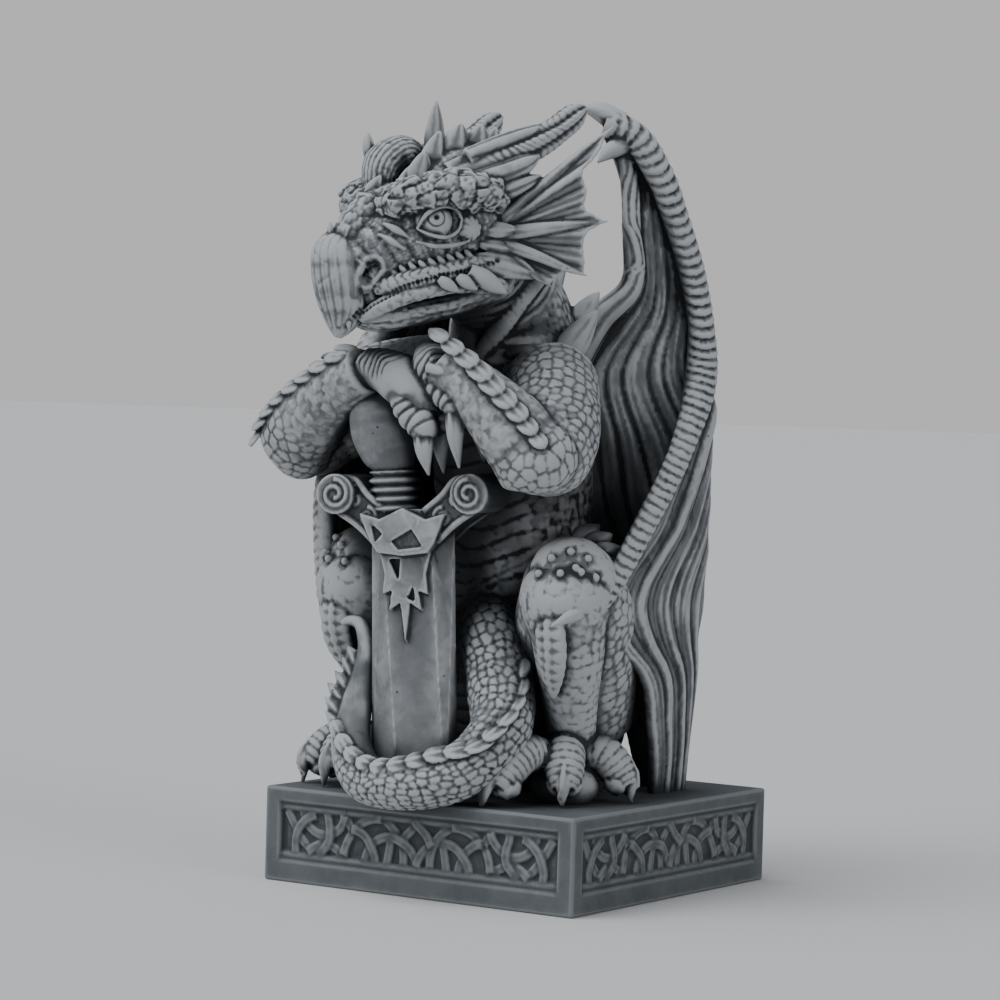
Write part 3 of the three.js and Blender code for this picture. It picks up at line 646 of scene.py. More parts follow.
# %% Legs
THIGH = [
    (26, 6, 44, 34, 34), (46, -24, 82, 31, 31), (59, -48, 106, 26, 26), (62, -61, 115, 20, 20),
    (62, -70, 118, 12, 12), (62, -75, 119, 3, 3),
]
SHIN = [
    (62, -56, 124, 8, 8), (62, -58, 112, 20, 20), (62, -54, 82, 18, 18), (56, -42, 50, 14, 13),
    (50, -31, 28, 13, 12), (48, -30, 4, 17, 15),
]
LEFT_TOES = [
    [(45, -42, 20), (45, -66, 25), (42, -80, 14), (37, -89, 0)],
    [(50, -36, 20), (57, -47, 25), (63, -56, 14), (66, -62, 0)],
    [(52, -30, 18), (66, -27, 24), (75, -23, 14), (80, -21, 0)],
]
RIGHT_TOES = [
    [(-52, -40, 18), (-48, -58, 23), (-44, -74, 14), (-42, -82, 0)],
    [(-58, -40, 20), (-63, -58, 24), (-66, -71, 14), (-67, -79, 0)],
    [(-60, -38, 18), (-74, -54, 23), (-82, -65, 14), (-86, -71, 0)],
]


def toe(root, knuckle, pad, tip):
    """A ringed toe, its claw with a ridge, and the pads beside the claw."""
    root, knuckle, pad, tip = (np.array(p, float) for p in (root, knuckle, pad, tip))
    ahead = unit(tip - root)
    aside = np.array([-ahead[1], ahead[0], 0])
    above = (pad + tip) / 2 + ahead * 2 + (0, 0, 7)
    rows = [
        (*root, 9, 8), (*knuckle, 10, 9.5), (*pad, 8.5, 8.5), (*(pad + ahead * 4 - (0, 0, 3)), 6, 6)
    ]
    wrinkles = where(both(bands(3.4, 1.3), crags(2.4, 0.25, seed=8)), 90, 125, start=3, fade=2)
    shells = [roll(rows, relief=wrinkles, pitch=FINE)]
    shells.append(horn(pad + (0, 0, 4), above, tip, 6.2, relief=rib(1.6), pitch=FINE))
    for side in (1, -1):
        way = aside * side * 7 - ahead * 3
        rows = [(*(pad + way * t - (0, 0, 3 + 4 * t)), 5.2 - 1.2 * abs(t - 0.6)) for t in (0, 0.5, 1)]
        rows.append((*(pad + way * 1.25 - (0, 0, 9)), 1))
        shells.append(roll(rows, relief=crags(3.4, 0.8, seed=4), pitch=FINE))
    return shells


def studs_on(centre, radius, spots, size):
    """Round studs on a ball-shaped part: each spot is a turn and a height in degrees."""
    shells = []
    for turn, height in spots:
        a, e = math.radians(turn), math.radians(height)
        way = np.array([math.cos(a) * math.cos(e), math.sin(a) * math.cos(e), math.sin(e)])
        shells.append(ball(np.array(centre) + way * radius, (size, size, size), steps=8))
    return shells


LEFT_SOLE, RIGHT_SOLE, SOLE_SIZE = (52, -38, 8), (-60, -44, 8), (17, 17, 12)
KNEE, KNEE_RADIUS, KNEE_STUD_SIZE = (62, -58, 112), 20.5, 1.9
KNEE_STUDS = [
    (-84, 34), (-50, 46), (-20, 34), (-66, 12), (-44, 20), (-36, 14), (-100, 10), (-12, 6), (-88, -12),
    (-62, -24), (-30, -16), (-50, -6)
]
SHIN_PLATES = [(70, -65, 108, 50, -78, 98, 5), (75, -61, 112, 62, -76, 106, 5)]
SHIN_LEAF = [
    (64, -72, 104, 2, 1), (65, -76, 92, 7.5, 3), (65, -74, 78, 8.5, 3.4), (62, -68, 64, 6, 3),
    (60, -63, 54, 1.5, 1)
]
KNEE_TUFT = [
    (
        58, -36, 126, 66, -22, 134, 6.5
    ), (64, -38, 122, 74, -26, 128, 6.5), (50, -34, 128, 56, -18, 138, 6.5),
    (69, -42, 116, 80, -32, 120, 6.5)
]


def leg(side, toes, sole):
    """A leg with its studs, plates and toes."""
    thigh_skin = both(
        where(cobbles(6.5, 0.7, seed=5), 0, 180, end=95),
        where(both(cobbles(2.6, 0.25, seed=7, gap=0.3), crags(6, 0.25, seed=15)), 0, 180, start=95),
    )
    shin_skin = both(
        where(both(cobbles(2.6, 0.25, seed=6, gap=0.3), crags(6, 0.3, seed=16)), 0, 180, end=34),
        where(cobbles(5, 0.6, seed=6), 0, 180, start=34),
    )
    leaf_ribs = both(bands(5.2, 0.6), rib(0.8))
    knee = mirrored([KNEE], side)[0]
    studs = [(turn if side > 0 else 180 - turn, height) for turn, height in KNEE_STUDS]
    shells = [
        roll(mirrored(THIGH, side), relief=thigh_skin, pitch=0.7),
        roll(mirrored(SHIN, side), upright=FRONT, relief=shin_skin, pitch=0.7),
        ball(sole, SOLE_SIZE),
    ]
    shells += studs_on(knee, KNEE_RADIUS, studs, KNEE_STUD_SIZE)
    shells.append(roll(mirrored(SHIN_LEAF, side), upright=FRONT, relief=leaf_ribs, pitch=FINE))
    shells += scutes(SHIN_PLATES, side, upright=FRONT, thick=0.26)
    shells += scutes(KNEE_TUFT, side, upright=(side, -0.3, 0.6), thick=0.4)
    for points in toes:
        shells += toe(*points)
    return shells


body_shells += leg(1, LEFT_TOES, LEFT_SOLE) + leg(-1, RIGHT_TOES, RIGHT_SOLE)
print("with legs:", len(body_shells), "rolls")

# %% [markdown]
# ## Arms and hands
# The upper arms are cobbled with large flat scales. A row of leaf plates runs up the left forearm, and
# long pointed plates stand out behind the right one. The fingers fold over the pommel and end in claws.

# %% Arms
LEFT_ARM = [
    (34, -34, 206, 24, 26), (44, -48, 196, 24, 25), (54, -64, 178, 23, 24), (58, -76, 168, 19, 19),
    (60, -84, 162, 10, 10)
]
LEFT_FOREARM = [
    (61, -74, 158, 10, 10), (60, -77, 164, 18, 18), (50, -84, 180, 19, 20), (32, -92, 200, 15, 16),
    (12, -97, 215, 12, 12)
]
RIGHT_ARM = [
    (-34, -34, 206, 24, 26), (-58, -52, 200, 25, 26), (-80, -68, 187, 24, 25), (-91, -78, 174, 19, 20),
    (-97, -82, 169, 10, 10)
]
RIGHT_FOREARM = [
    (-99, -79, 168, 9, 9), (-92, -80, 171, 17, 17), (-78, -88, 183, 19, 19), (-56, -96, 200, 15, 15),
    (-32, -101, 212, 12, 11)
]
LEFT_FINGERS = [
    [(6, -97, 214), (13, -99, 204), (22, -99, 196), (24, -98, 165)],
    [(10, -86, 214), (19, -84, 204), (26, -83, 195), (28, -82, 168)],
]
RIGHT_FINGERS = [
    [(-8, -103, 204), (-1, -104, 191), (6, -103, 184), (9, -102, 161)],
    [(-8, -90, 208), (3, -90, 197), (8, -89, 187), (8, -88, 162)],
]
SCALY = cobbles(5.6, 0.75, seed=11, stretch=0.9)
SKIN = both(crags(5, 0.2, seed=14), cobbles(2.4, 0.1, seed=13, gap=0.3))


def finger(root, knuckle, joint, tip):
    """A banded finger with its claw."""
    root, knuckle, joint, tip = (np.array(p, float) for p in (root, knuckle, joint, tip))
    bend = (joint + tip) / 2 + (0, -2, 0)
    wrinkles = where(bands(4.6, 1.8), 90, 180, start=8, fade=2)
    rows = [(*root, 8.5, 8), (*knuckle, 7.5, 7.2), (*joint, 7.2, 6.8), (*(joint + (0, 0, -4)), 4, 4)]
    return [
        roll(rows, relief=wrinkles, pitch=FINE),
        ball(joint, (7.4, 7.4, 7)),
        horn(joint - (0, 0, 2), bend, tip, 5.8, upright=FRONT, relief=rib(0.8), pitch=FINE),
    ]


LEAF = [
    (-0.42, 0.3, -0.8), (-0.2, 0.8, -0.2), (0.1, 1.0, 0.5), (0.38, 0.86, 1.0), (0.52, 0.5, 1.1),
    (0.58, 0.12, 1.1)
]


def leaf_row(line, count, long, width, upright, lift=1.5):
    """Leaves that overlap along a line, each with its tip over the next one's root."""
    spots, _ = spline([(*p, 0) for p in line], count)
    upright = unit(np.array(upright, float))
    shells = []
    for spot, way in zip(spots[:, :3], unit(np.gradient(spots[:, :3], axis=0))):
        grown = 0.8 + 0.3 * math.sin(math.pi * len(shells) / (count - 1))
        rows = []
        for along, wide, raised in LEAF:
            centre = spot + way * (along * long * grown) + upright * (raised * lift)
            rows.append((*centre, width * grown * wide, width * (0.12 + 0.14 * wide)))
        shells.append(roll(rows, upright=upright, relief=rib(0.5), pitch=FINE))
    return shells


LEFT_LEAVES = [(14, -106, 230), (32, -103.5, 217), (46, -101, 204), (57, -98.5, 193), (67, -96, 181)]
RIGHT_LEAVES = [(-44, -107, 218), (-64, -105, 208), (-84, -101, 196), (-99, -97, 183), (-107, -92, 168)]
RIGHT_OUTER_LEAVES = [(-48, -94, 222), (-68, -88, 213), (-88, -84, 200), (-103, -82, 184)]

LEFT_HAND = [(-2, -94, 222, 6, 6), (6, -96, 216, 12, 10), (14, -97, 210, 11, 10), (20, -98, 202, 8, 8)]
RIGHT_HAND = [
    (-34, -98, 214, 9, 9), (-22, -98, 212, 12, 11), (-10, -99, 207, 13.5, 12.5), (-1, -99, 199, 12, 11),
    (3, -101, 190, 8, 8)
]
THUMB = [(26, -100, 208, 3), (18, -106, 212, 3.4), (10, -108, 214, 2.5)]


def forearm_skin(wrist):
    """Scales from the elbow to a distance along the forearm, and bare skin from there."""
    return both(where(SCALY, 0, 180, end=wrist), where(SKIN, 0, 180, start=wrist))


hand_creases = rings(3.6, 1.2, sharp=2.5)
arm_shells = [
    roll(LEFT_ARM, relief=SCALY, pitch=FINE),
    roll(LEFT_FOREARM, upright=FRONT, relief=forearm_skin(26), pitch=FINE),
    roll(RIGHT_ARM, relief=SCALY, pitch=FINE),
    roll(RIGHT_FOREARM, upright=FRONT, relief=forearm_skin(34), pitch=FINE),
    roll(LEFT_HAND, relief=where(hand_creases, 90, 180, start=8), pitch=FINE),
    roll(RIGHT_HAND, relief=where(hand_creases, 100, 100, end=20), pitch=FINE),
    roll(THUMB),
]
for points in LEFT_FINGERS + RIGHT_FINGERS:
    arm_shells += finger(*points)
arm_shells += leaf_row(LEFT_LEAVES, 9, 14, 5.4, (0.65, -0.62, 0.42))
arm_shells += leaf_row(RIGHT_LEAVES, 9, 16, 5, (-0.35, -0.7, 0.6), lift=2.5)
arm_shells += leaf_row(RIGHT_OUTER_LEAVES, 8, 16, 5, (-0.6, -0.2, 0.75), lift=3.5)
print("arms:", len(arm_shells), "rolls")

# %% [markdown]
# ## The tail
# It comes forward between the legs, goes round the foot of the sword and rises beside the blade to a
# smooth hook. Small uneven scales cover it. A row of leaves that overlap lies along its back, and jagged
# plates stand on its rise. It is one long roll that thins out, so the scales thin out with it.

# %% Tail
TAIL = [
    (0, 14, 60, 25, 25), (-2, -26, 82, 22, 22), (8, -46, 80, 20, 20), (26, -60, 58, 17.5, 17.5),
    (36.5, -76, 35, 15, 15), (26, -94, 17, 13.5, 13.5), (0, -105, 9.5, 12.5, 12.5),
    (-25, -103, 11.5, 11.5, 11.5), (-38, -96, 26, 10, 10), (-39.5, -90, 46, 7.8, 7.8),
    (-38, -87, 62, 5.4, 5.4), (-37.5, -86, 76, 4.4, 4.4), (-42, -86, 85.5, 3.6, 3.6),
    (-50, -86, 86, 2.2, 2.2), (-53, -86, 84.5, 1.4, 1.4),
]
TAIL_UPRIGHT = (0.15, -0.35, 1.0)
TAIL_LEAVES = [
    (42, -63, 68), (45, -69, 57), (46, -87, 41), (39, -97, 31), (25, -104, 27), (13, -108, 23),
    (3, -111, 20), (-8, -112, 18), (-22, -110, 20), (-32, -108, 25), (-40, -104, 32)
]
TAIL_JAGS = [
    (-44, -98, 36, -54, -97, 41), (-46, -96, 41, -56, -95, 48), (-46, -93, 47, -56, -93, 55),
    (-45, -91, 53, -53, -91, 61), (-43, -89, 59, -50, -89, 68), (-42, -88, 66, -48, -88, 74),
]
SMOOTH_TIP = 222

tail_scales = where(cobbles(4.0, 0.95, seed=21, stretch=1.15, gap=0.2), 0, 180, end=SMOOTH_TIP)
tail_shells = [roll(TAIL, upright=TAIL_UPRIGHT, relief=tail_scales, pitch=0.5)]
tail_shells += leaf_row(TAIL_LEAVES, 15, 15, 5, (0.05, -0.72, 0.68), lift=1.2)
for x, y, z, tx, ty, tz in TAIL_JAGS:
    root = (2 * x - tx, 2 * y - ty, 2 * z - tz)
    tail_shells.append(scute(root, (tx, ty, tz), 5.5, upright=(-0.3, -0.8, 0.5), thick=0.35))
print("tail:", len(tail_shells), "rolls")

# %% Cast the body
body = cast("dragon_body", body_shells, voxel=0.9, triangles=188000)
limbs = cast("dragon_arms_and_tail", arm_shells + tail_shells, voxel=0.68, triangles=198000)

# %% [markdown]
# ## The wings
# Each wing is a thin wall that is folded like cloth: from the back, round behind the body, to a leading
# finger in front. Long folds hang from the finger. Crescent scales cover the fingers, and a claw stands
# at each joint. A cloth simulation would fall differently at each change, so the folds are drawn as
# ridges over a grid of points, and the grid is then given its thickness.

# %% Wings
LEFT_WING = [
    (330, 38, 43, 32, 45, 27, 40), (326, 40, 44, 34, 47, 29, 43), (289, 54, 54, 45, 58, 35, 42),
    (250, 64, 57, 53, 62, 33, 37), (214, 69, 54, 63, 62, 14, 18), (180, 77, 22, 69, 58, 14, 20),
    (140, 80, -12, 70, 57, 15, 22), (97, 78, -52, 70, 57, 20, 31), (77, 75, -27, 68, 56, 26, 36),
    (66, 74, -8, 67, 56, 30, 40), (34, 70, 12, 65, 55, 34, 46), (-6, 62, 28, 62, 55, 42, 52),
]
RIGHT_WING = [
    (306, -56, 10, -50, 22, -42, 24), (258, -77, -4, -71, 41, -32, 38),
    (232, -84, -16, -80, 45, -24, 30), (206, -86, -34, -85, 47, -14, 20),
    (146, -83, -60, -84, 51, -15, 22), (100, -79, -58, -78, 53, -20, 30),
    (77, -77, -34, -73, 55, -26, 36), (66, -76, -14, -70, 55, -30, 40), (34, -72, 8, -66, 55, -34, 46),
    (-6, -63, 28, -62, 55, -42, 52),
]
LEFT_FINGER_BONE = [
    (20, 32, 343, 7), (31, 39, 338, 7.5), (44, 47, 318, 7), (52, 53, 294, 6.5), (59, 58, 268, 6.5),
    (66, 57, 241, 6.5), (69, 54, 218, 8), (78, 22, 178, 6), (81, -18, 138, 5.5), (79, -50, 104, 5),
    (78, -59, 97, 5),
]
RIGHT_FINGER_BONE = [
    (-46, 14, 314, 7), (-60, 8, 298, 7), (-76, -2, 260, 6.5), (-86, -26, 216, 8), (-86, -48, 180, 6),
    (-83, -62, 146, 5.5), (-80, -65, 116, 5), (-78, -64, 94, 5),
]
LEFT_WING_ARM = [
    (12, 12, 214, 11), (24, 26, 242, 8), (35, 37, 258, 6.5), (34, 38, 290, 5), (29, 41, 318, 5),
    (23, 35, 340, 6),
]
RIGHT_WING_ARM = [
    (-14, 6, 206, 11), (-30, 18, 228, 8), (-43, 28, 244, 6.5), (-44, 26, 278, 5), (-44, 16, 312, 6),
]
WING_WALL = 4.6
WING_STEP = 0.9
WING_COLUMNS = 190
RIPPLES = [(37, 0.16, 4.0), (61, 0.12, -5.0), (97, 0.08, 7.0)]


def through_three(front, rear, root, count):
    """Points at even steps on a smooth curve through three places of each level."""
    t = np.linspace(0, 1, 41)[:, None, None]
    hermite = (2 * t**3 - 3 * t**2 + 1, t**3 - 2 * t**2 + t, 3 * t**2 - 2 * t**3, t**3 - t**2)
    middle = (root - front) / 2
    first = hermite[0] * front + hermite[1] * (rear - front) + hermite[2] * rear + hermite[3] * middle
    second = hermite[0] * rear + hermite[1] * middle + hermite[2] * root + hermite[3] * (root - rear)
    line = np.concatenate([first, second[1:]])
    steps = np.linalg.norm(np.diff(line, axis=0), axis=2)
    reach = np.concatenate([np.zeros((1, steps.shape[1])), np.cumsum(steps, axis=0)])
    out = np.empty((steps.shape[1], count, 3))
    for level in range(steps.shape[1]):
        share = np.linspace(0, reach[-1, level], count)
        for k in range(3):
            out[level, :, k] = np.interp(share, reach[:, level], line[:, level, k])
    return out


def membrane(rows, folds, seed):
    """A wing's skin, level by level, with folds that hang down and fan out from its finger."""
    levels = int((rows[0][0] - rows[-1][0]) / WING_STEP)
    table, _ = spline([(z, 0, 0, *rest) for z, *rest in rows], levels)
    z, flat = table[:, 0], table[:, 3:]
    corners = [at(np.column_stack([flat[:, 2 * k], flat[:, 2 * k + 1], z])) for k in range(3)]
    grid = through_three(*corners, WING_COLUMNS)
    share = np.linspace(0, 1, grid.shape[1])[None]
    down = np.linspace(0, 1, grid.shape[0])[:, None]
    rng = np.random.default_rng(seed)
    lift = np.zeros(grid.shape[:2])
    for k in range(folds):
        start = (k + 0.5 + rng.uniform(-0.35, 0.35)) / folds
        line = start + rng.uniform(-0.06, 0.06) * np.sin(3 * down + k)
        width = rng.uniform(0.18, 0.42) / folds
        swell = 0.6 + 0.4 * np.sin(4 * down + 2.4 * k)
        tall = rng.uniform(0.8, 2.6) * smooth_step(0.02, 0.35, down) * swell
        lift += tall * np.exp(-np.abs((share - line) / width) ** 1.6)
    for waves, tall, lean in RIPPLES:
        lift += tall * np.sin(TURN * waves * share * 0.5 + lean * np.sin(5 * down + waves))
    normal = unit(np.cross(np.gradient(grid, axis=0), np.gradient(grid, axis=1)))
    edge = smooth_step(0, 0.03, share) * smooth_step(0, 0.03, 1 - share)
    return wall(grid + normal * (lift * edge)[..., None], WING_WALL)


def finger_bone(rows, side, seed):
    """The leading finger of a wing, with crescent scales on its outer side."""
    scales = both(crescents(5.6, 1.5, 60), crags(3, 0.2, seed=seed))
    return roll(rows, upright=(side, -0.3, 0.2), relief=scales, pitch=FINE)


wing_shells = [
    membrane(LEFT_WING, 13, 4),
    membrane(RIGHT_WING, 12, 9),
    finger_bone(LEFT_FINGER_BONE, 1, 41),
    finger_bone(RIGHT_FINGER_BONE, -1, 42),
    roll(LEFT_WING_ARM, relief=grooves(6, 0.8)),
    roll(RIGHT_WING_ARM, relief=grooves(6, 0.8)),
    horn((28, 36, 343), (16, 29, 350), (8, 24, 351), 6.5, relief=grooves(5, 0.5)),
    horn((31, 37, 334), (25, 28, 328), (22, 22, 322), 5.5),
    horn((-52, 14, 312), (-44, 4, 322), (-38, -2, 318), 6),
    horn((78, -57, 100), (76, -73, 96), (72, -88, 90), 5, relief=grooves(6, 0.4)),
    horn((-79, -62, 97), (-77, -66, 86), (-68, -62, 78), 5),
]
wings = cast("dragon_wings", wing_shells, voxel=0.9, triangles=184000)

# %% [markdown]
# ## The head
# It is set out in its own frame, forward, to its left and up, from a point between the eyes, because it
# is turned to its right and dips. Half of it is made for both sides.

# %% Head
HEAD_CENTRE = (-8, -76, 284)
HEAD_TURN = math.radians(-24)
HEAD_DIP = math.radians(12)
FORWARD = np.array([math.sin(HEAD_TURN), -math.cos(HEAD_TURN), 0]) * math.cos(HEAD_DIP)
FORWARD[2] = -math.sin(HEAD_DIP)
LEFTWARD = np.array([math.cos(HEAD_TURN), math.sin(HEAD_TURN), 0.0])
CROWN = -np.cross(LEFTWARD, FORWARD)
HEAD_AXES = np.stack([FORWARD, LEFTWARD, CROWN])


def on_head(points):
    """Points forward, left and up on the head, as places on the whole."""
    return at(HEAD_CENTRE) + np.asarray(points, float) @ HEAD_AXES


def head_roll(stations, **options):
    return roll(stations, **{"place": on_head, "upright": CROWN, "pitch": FINE, **options})


def head_ball(centre, sizes, steps=20):
    return ball(centre, sizes, place=on_head, axes=HEAD_AXES, steps=steps)


def mirror_left(stations, side):
    """Stations of the head's left side, or with side -1 of its right."""
    return [(row[0], row[1] * side, *row[2:]) for row in stations]


SNOUT = [
    (-46, 0, 2, 10, 11), (-42, 0, 2, 18, 20), (-18, 0, 6, 36, 35), (12, 0, 0, 35.5, 27),
    (32, 0, -6, 28, 22), (46, 0, -12, 20, 20), (58, 0, -16, 15, 18), (64, 0, -17, 9, 11),
]
BRIDGE = [
    (14, 0, 8, 18, 18), (34, 0, 9, 12, 15), (45, 0, 3, 10.5, 13.5), (55, 0, -7, 10, 11),
    (60, 0, -12, 6, 6)
]
BEAK = [
    (54, 0, 3, 6, 6), (57, 0, -1, 12, 12), (59, 0, -10, 15, 13.5), (60, 0, -22, 14.5, 12.5),
    (61, 0, -32, 12, 10.5), (64, 0, -40, 7, 6), (66, 0, -44, 2, 2),
]
JAW = [
    (-28, 0, -26, 16, 7), (-22, 0, -28, 28, 11), (4, 0, -36, 28, 9), (30, 0, -38, 20, 8),
    (48, 0, -38, 11, 6), (54, 0, -38, 5, 3)
]
BROW = [
    (35, 8, 15, 5, 5), (32, 14, 16, 9, 8), (24, 28, 19.5, 11, 8.5), (10, 36, 19.5, 11, 9),
    (-8, 40, 13, 9, 8), (-16, 39, 8, 4, 4)
]
LIP = [
    (57, 9, -37, 2, 2), (52, 14, -33.5, 4, 3.6), (40, 22.5, -29, 4.6, 4), (24, 30.5, -27, 4.8, 4),
    (6, 34.5, -28, 5, 4.4), (-8, 36, -32, 5, 4), (-12, 35, -34, 2, 2)
]
HORN = [
    (0, 22, 20, 13, 12), (-16, 28, 26, 12, 11), (-36, 34, 32, 9.5, 9), (-52, 37, 38, 7.5, 7.5),
    (-68, 39, 46, 4.5, 4.5), (-71, 39.5, 47, 2, 2)
]
HORN_LOBES = [
    [(2, 36, 20, 5), (-16, 40, 22, 6), (-32, 42, 26, 4), (-38, 42, 28, 1)],
    [(0, 40, 12, 4), (-16, 42, 14, 5), (-30, 44, 17, 3), (-36, 44, 18, 1)],
    [(-4, 30, 32, 5), (-24, 34, 36, 5.5), (-42, 37, 40, 3.5), (-50, 38, 42, 1)],
]
TOOTH_WAY = (-0.72, 0.16, -0.66)
TOOTH_TAPER = [(-0.12, 0.6), (0.2, 1), (0.62, 0.8)]
TEETH = [(25, 37, -23, 2.9, 11), (16, 39.5, -23.5, 3.1, 11), (8, 40.5, -22, 4.6, 21)]
FRONT_FANG = [(62, 6, -35, 1.8), (63.5, 8.5, -37, 1.5), (64, 9, -41, 0.4)]
BEAK_SPIKE = [(60, 0, -4, 4.5), (61.5, 0, 4, 3), (60, 0, 12, 0.8)]
TEMPLE_KNOB = [(4, 30, -1, 5), (4, 36, -1, 6.5), (4, 39, -1, 3.5), (4, 40, -1, 0.5)]
EAR_ROOT = (-6, 28, -7)
EAR_RIBS = [(-69, 60, 35, 3.4), (-54, 66, -8, 3.4), (-42, 60, -32, 3.0), (-29, 48, -35, 2.6)]
EAR_WEB = [
    (-69, 60, 35), (-58, 62, 24), (-50, 62, 19), (-50, 62, 8), (-48, 62, 0), (-54, 66, -8),
    (-46, 63, -12), (-44, 61, -20), (-42, 60, -32), (-36, 56, -29), (-33, 52, -31), (-29, 48, -35)
]
EYE = (20, 29.5, 5)
EYE_RADIUS = 9.3
UPPER_LID = [
    (31, 31.5, 3, 0.7), (26.5, 36, 9.6, 1.1), (18, 38, 12, 1.3), (11.5, 38, 9.4, 1.1),
    (8.5, 37.5, 4, 0.7)
]
LOWER_LID = [
    (31, 31.5, 3, 0.6), (25.5, 36, -1.2, 0.9), (18, 38, -3.2, 1.0), (11.5, 38, -0.6, 0.9),
    (8.5, 37.5, 4, 0.6)
]
UNDER_EYE_FOLDS = [
    [(32, 30.5, -3, 0.6), (25, 35, -6.4, 1.2), (14, 38, -7.6, 1.2), (6, 38, -7, 0.6)],
    [(42, 19, 8, 0.6), (38, 23, 4, 2), (33, 27, -1, 0.7)],
    [(45, 18, 3, 0.6), (41, 22, -1, 2), (36, 26, -6, 0.7)],
]
LIP_BEADS = 10
LIP_BEAD = [(1.6, 1.4, 5.0, 0.7), (0.4, 0.6, 2.2, 1.7), (-0.4, 0.4, -0.4, 2.0), (-0.8, 0.8, -2.2, 0.9)]
CHEEK_FOLD = [
    (49, 14, -23, 3), (44, 18.5, -22.5, 4.4), (37, 23.6, -21.6, 5), (28, 29, -20.6, 5.2),
    (18, 32.2, -20, 5.2), (6, 34, -19.4, 5.2), (-6, 33, -18, 4)
]
BEAD_LINE = [(44, 18, -20), (37, 24, -18.5), (28, 30.2, -17.2), (18, 33.6, -16.6), (6, 35.6, -16)]
CHEEK_SCUTES = [
    (2, 35, -16, -30, 45, -31, 6), (-2, 34, -10, -24, 43, -18, 4), (-4, 34, -3, -20, 44, -6, 4)
]
CREST = [
    (34, 0, 25, 10, 6), (24, 12, 25, 13, 5), (16, 14, 28, 16, 7), (4, 11, 31, 21, 9),
    (-4, 0, 36, 31, 6), (-8, 12, 33, 21, 10), (-16, -8, 35, 16, 9), (-20, 12, 33, 19, 10),
    (-32, 6, 31, 18, 8), (-40, 10, 26, 14, 6),
]
FAR_SPIKE = [(21, -20, 24, 5), (21, -20, 36, 3.2), (20.5, -20, 48, 2.2), (20, -20, 51, 0.6)]
FAR_LOBE = [(26, -9, 22, 9, 7), (20, -9, 34, 12, 10), (8, -9, 38, 11, 9), (0, -8, 34, 6, 6)]
MOUTH = [
    (66, 4, -38), (60, 11, -34), (52.9, 17, -29.5), (41.3, 27, -24.2), (25, 35, -21.4), (7, 39.5, -21),
    (-6, 40, -19)
]
NOSTRIL = [(54, 17, -16.5), (51, 18.5, -12)]
PUPIL = (0.30, 0.92, 0.24)
MOUTH_CUT, PUPIL_CUT, IRIS_CUT = (2.4, 1.2), (2.2, 1.0), (0.5, 0.55, 4.2)
NOSTRIL_CUT, NOSTRIL_RIM = (7.5, 2.4), (0.8, 1.6, 5)


def near_line(points, line, reach):
    """How far each point is from a line, or the stated reach where it is further."""
    line = np.asarray(line, float)
    gap = np.full(len(points), reach)
    inside = ((points > line.min(0) - reach) & (points < line.max(0) + reach)).all(1)
    track, _ = spline(line, 40)
    away = np.linalg.norm(points[inside][:, None] - track[None], axis=2).min(1)
    gap[inside] = np.minimum(reach, away)
    return gap


def dip(gap, depth, width, middle=0):
    """A rounded groove of a depth and a half width, at a distance from a line or a point."""
    return depth * np.exp(-(((gap - middle) / width) ** 2))


def carve_head(points, outward):
    """Cuts the mouth, the nostrils, and the iris and pupil of each eye."""
    h = (points - at(HEAD_CENTRE)) @ HEAD_AXES.T
    h[:, 1] = np.abs(h[:, 1])
    depth = dip(near_line(h, MOUTH, 8.0), *MOUTH_CUT)
    gap = near_line(h, NOSTRIL, 14.0)
    depth += dip(gap, *NOSTRIL_CUT) - dip(gap, *NOSTRIL_RIM)
    from_eye = h - np.array(EYE)
    pupil = unit(np.array(PUPIL))
    along = from_eye @ pupil
    off = np.linalg.norm(from_eye - along[:, None] * pupil, axis=1)
    on_eye = (along > 0) & (np.linalg.norm(from_eye, axis=1) < EYE_RADIUS + 0.5)
    depth += on_eye * (dip(off, *PUPIL_CUT) + dip(off, *IRIS_CUT))
    return -outward * depth[:, None]


EAR_COLUMNS, EAR_ROWS = 120, 80


def ear(side):
    """An ear's rippled skin and the ribs that hold it out."""
    root = np.array([EAR_ROOT[0], EAR_ROOT[1] * side, EAR_ROOT[2]], float)
    tips, _ = spline(mirror_left(EAR_WEB, side), EAR_COLUMNS)
    share = np.linspace(0.04, 0.985, EAR_ROWS)[:, None, None]
    grid = root + (tips[None] - root) * share
    column = np.arange(EAR_COLUMNS)[None]
    ripple = 0.5 * np.sin(column * 0.42 + 3 * share[..., 0]) + 0.25 * np.sin(column * 1.3)
    grid[..., 1] += side * ripple
    shells = [wall(on_head(grid.reshape(-1, 3)).reshape(grid.shape), 2.4 - 0.9 * share[..., 0])]
    for f, l, u, thick in EAR_RIBS:
        tip = np.array([f, l * side, u], float)
        middle = root + (tip - root) * 0.5 + (0, side * 2.5, 0.5)
        rows = [
            [*root, thick * 1.3], [*middle, thick], [*(root + (tip - root) * 0.86), thick * 0.62],
            [*(tip + (tip - root) * 0.05), 0.3]
        ]
        shells.append(head_roll(rows, relief=grooves(4, 0.35)))
    return shells


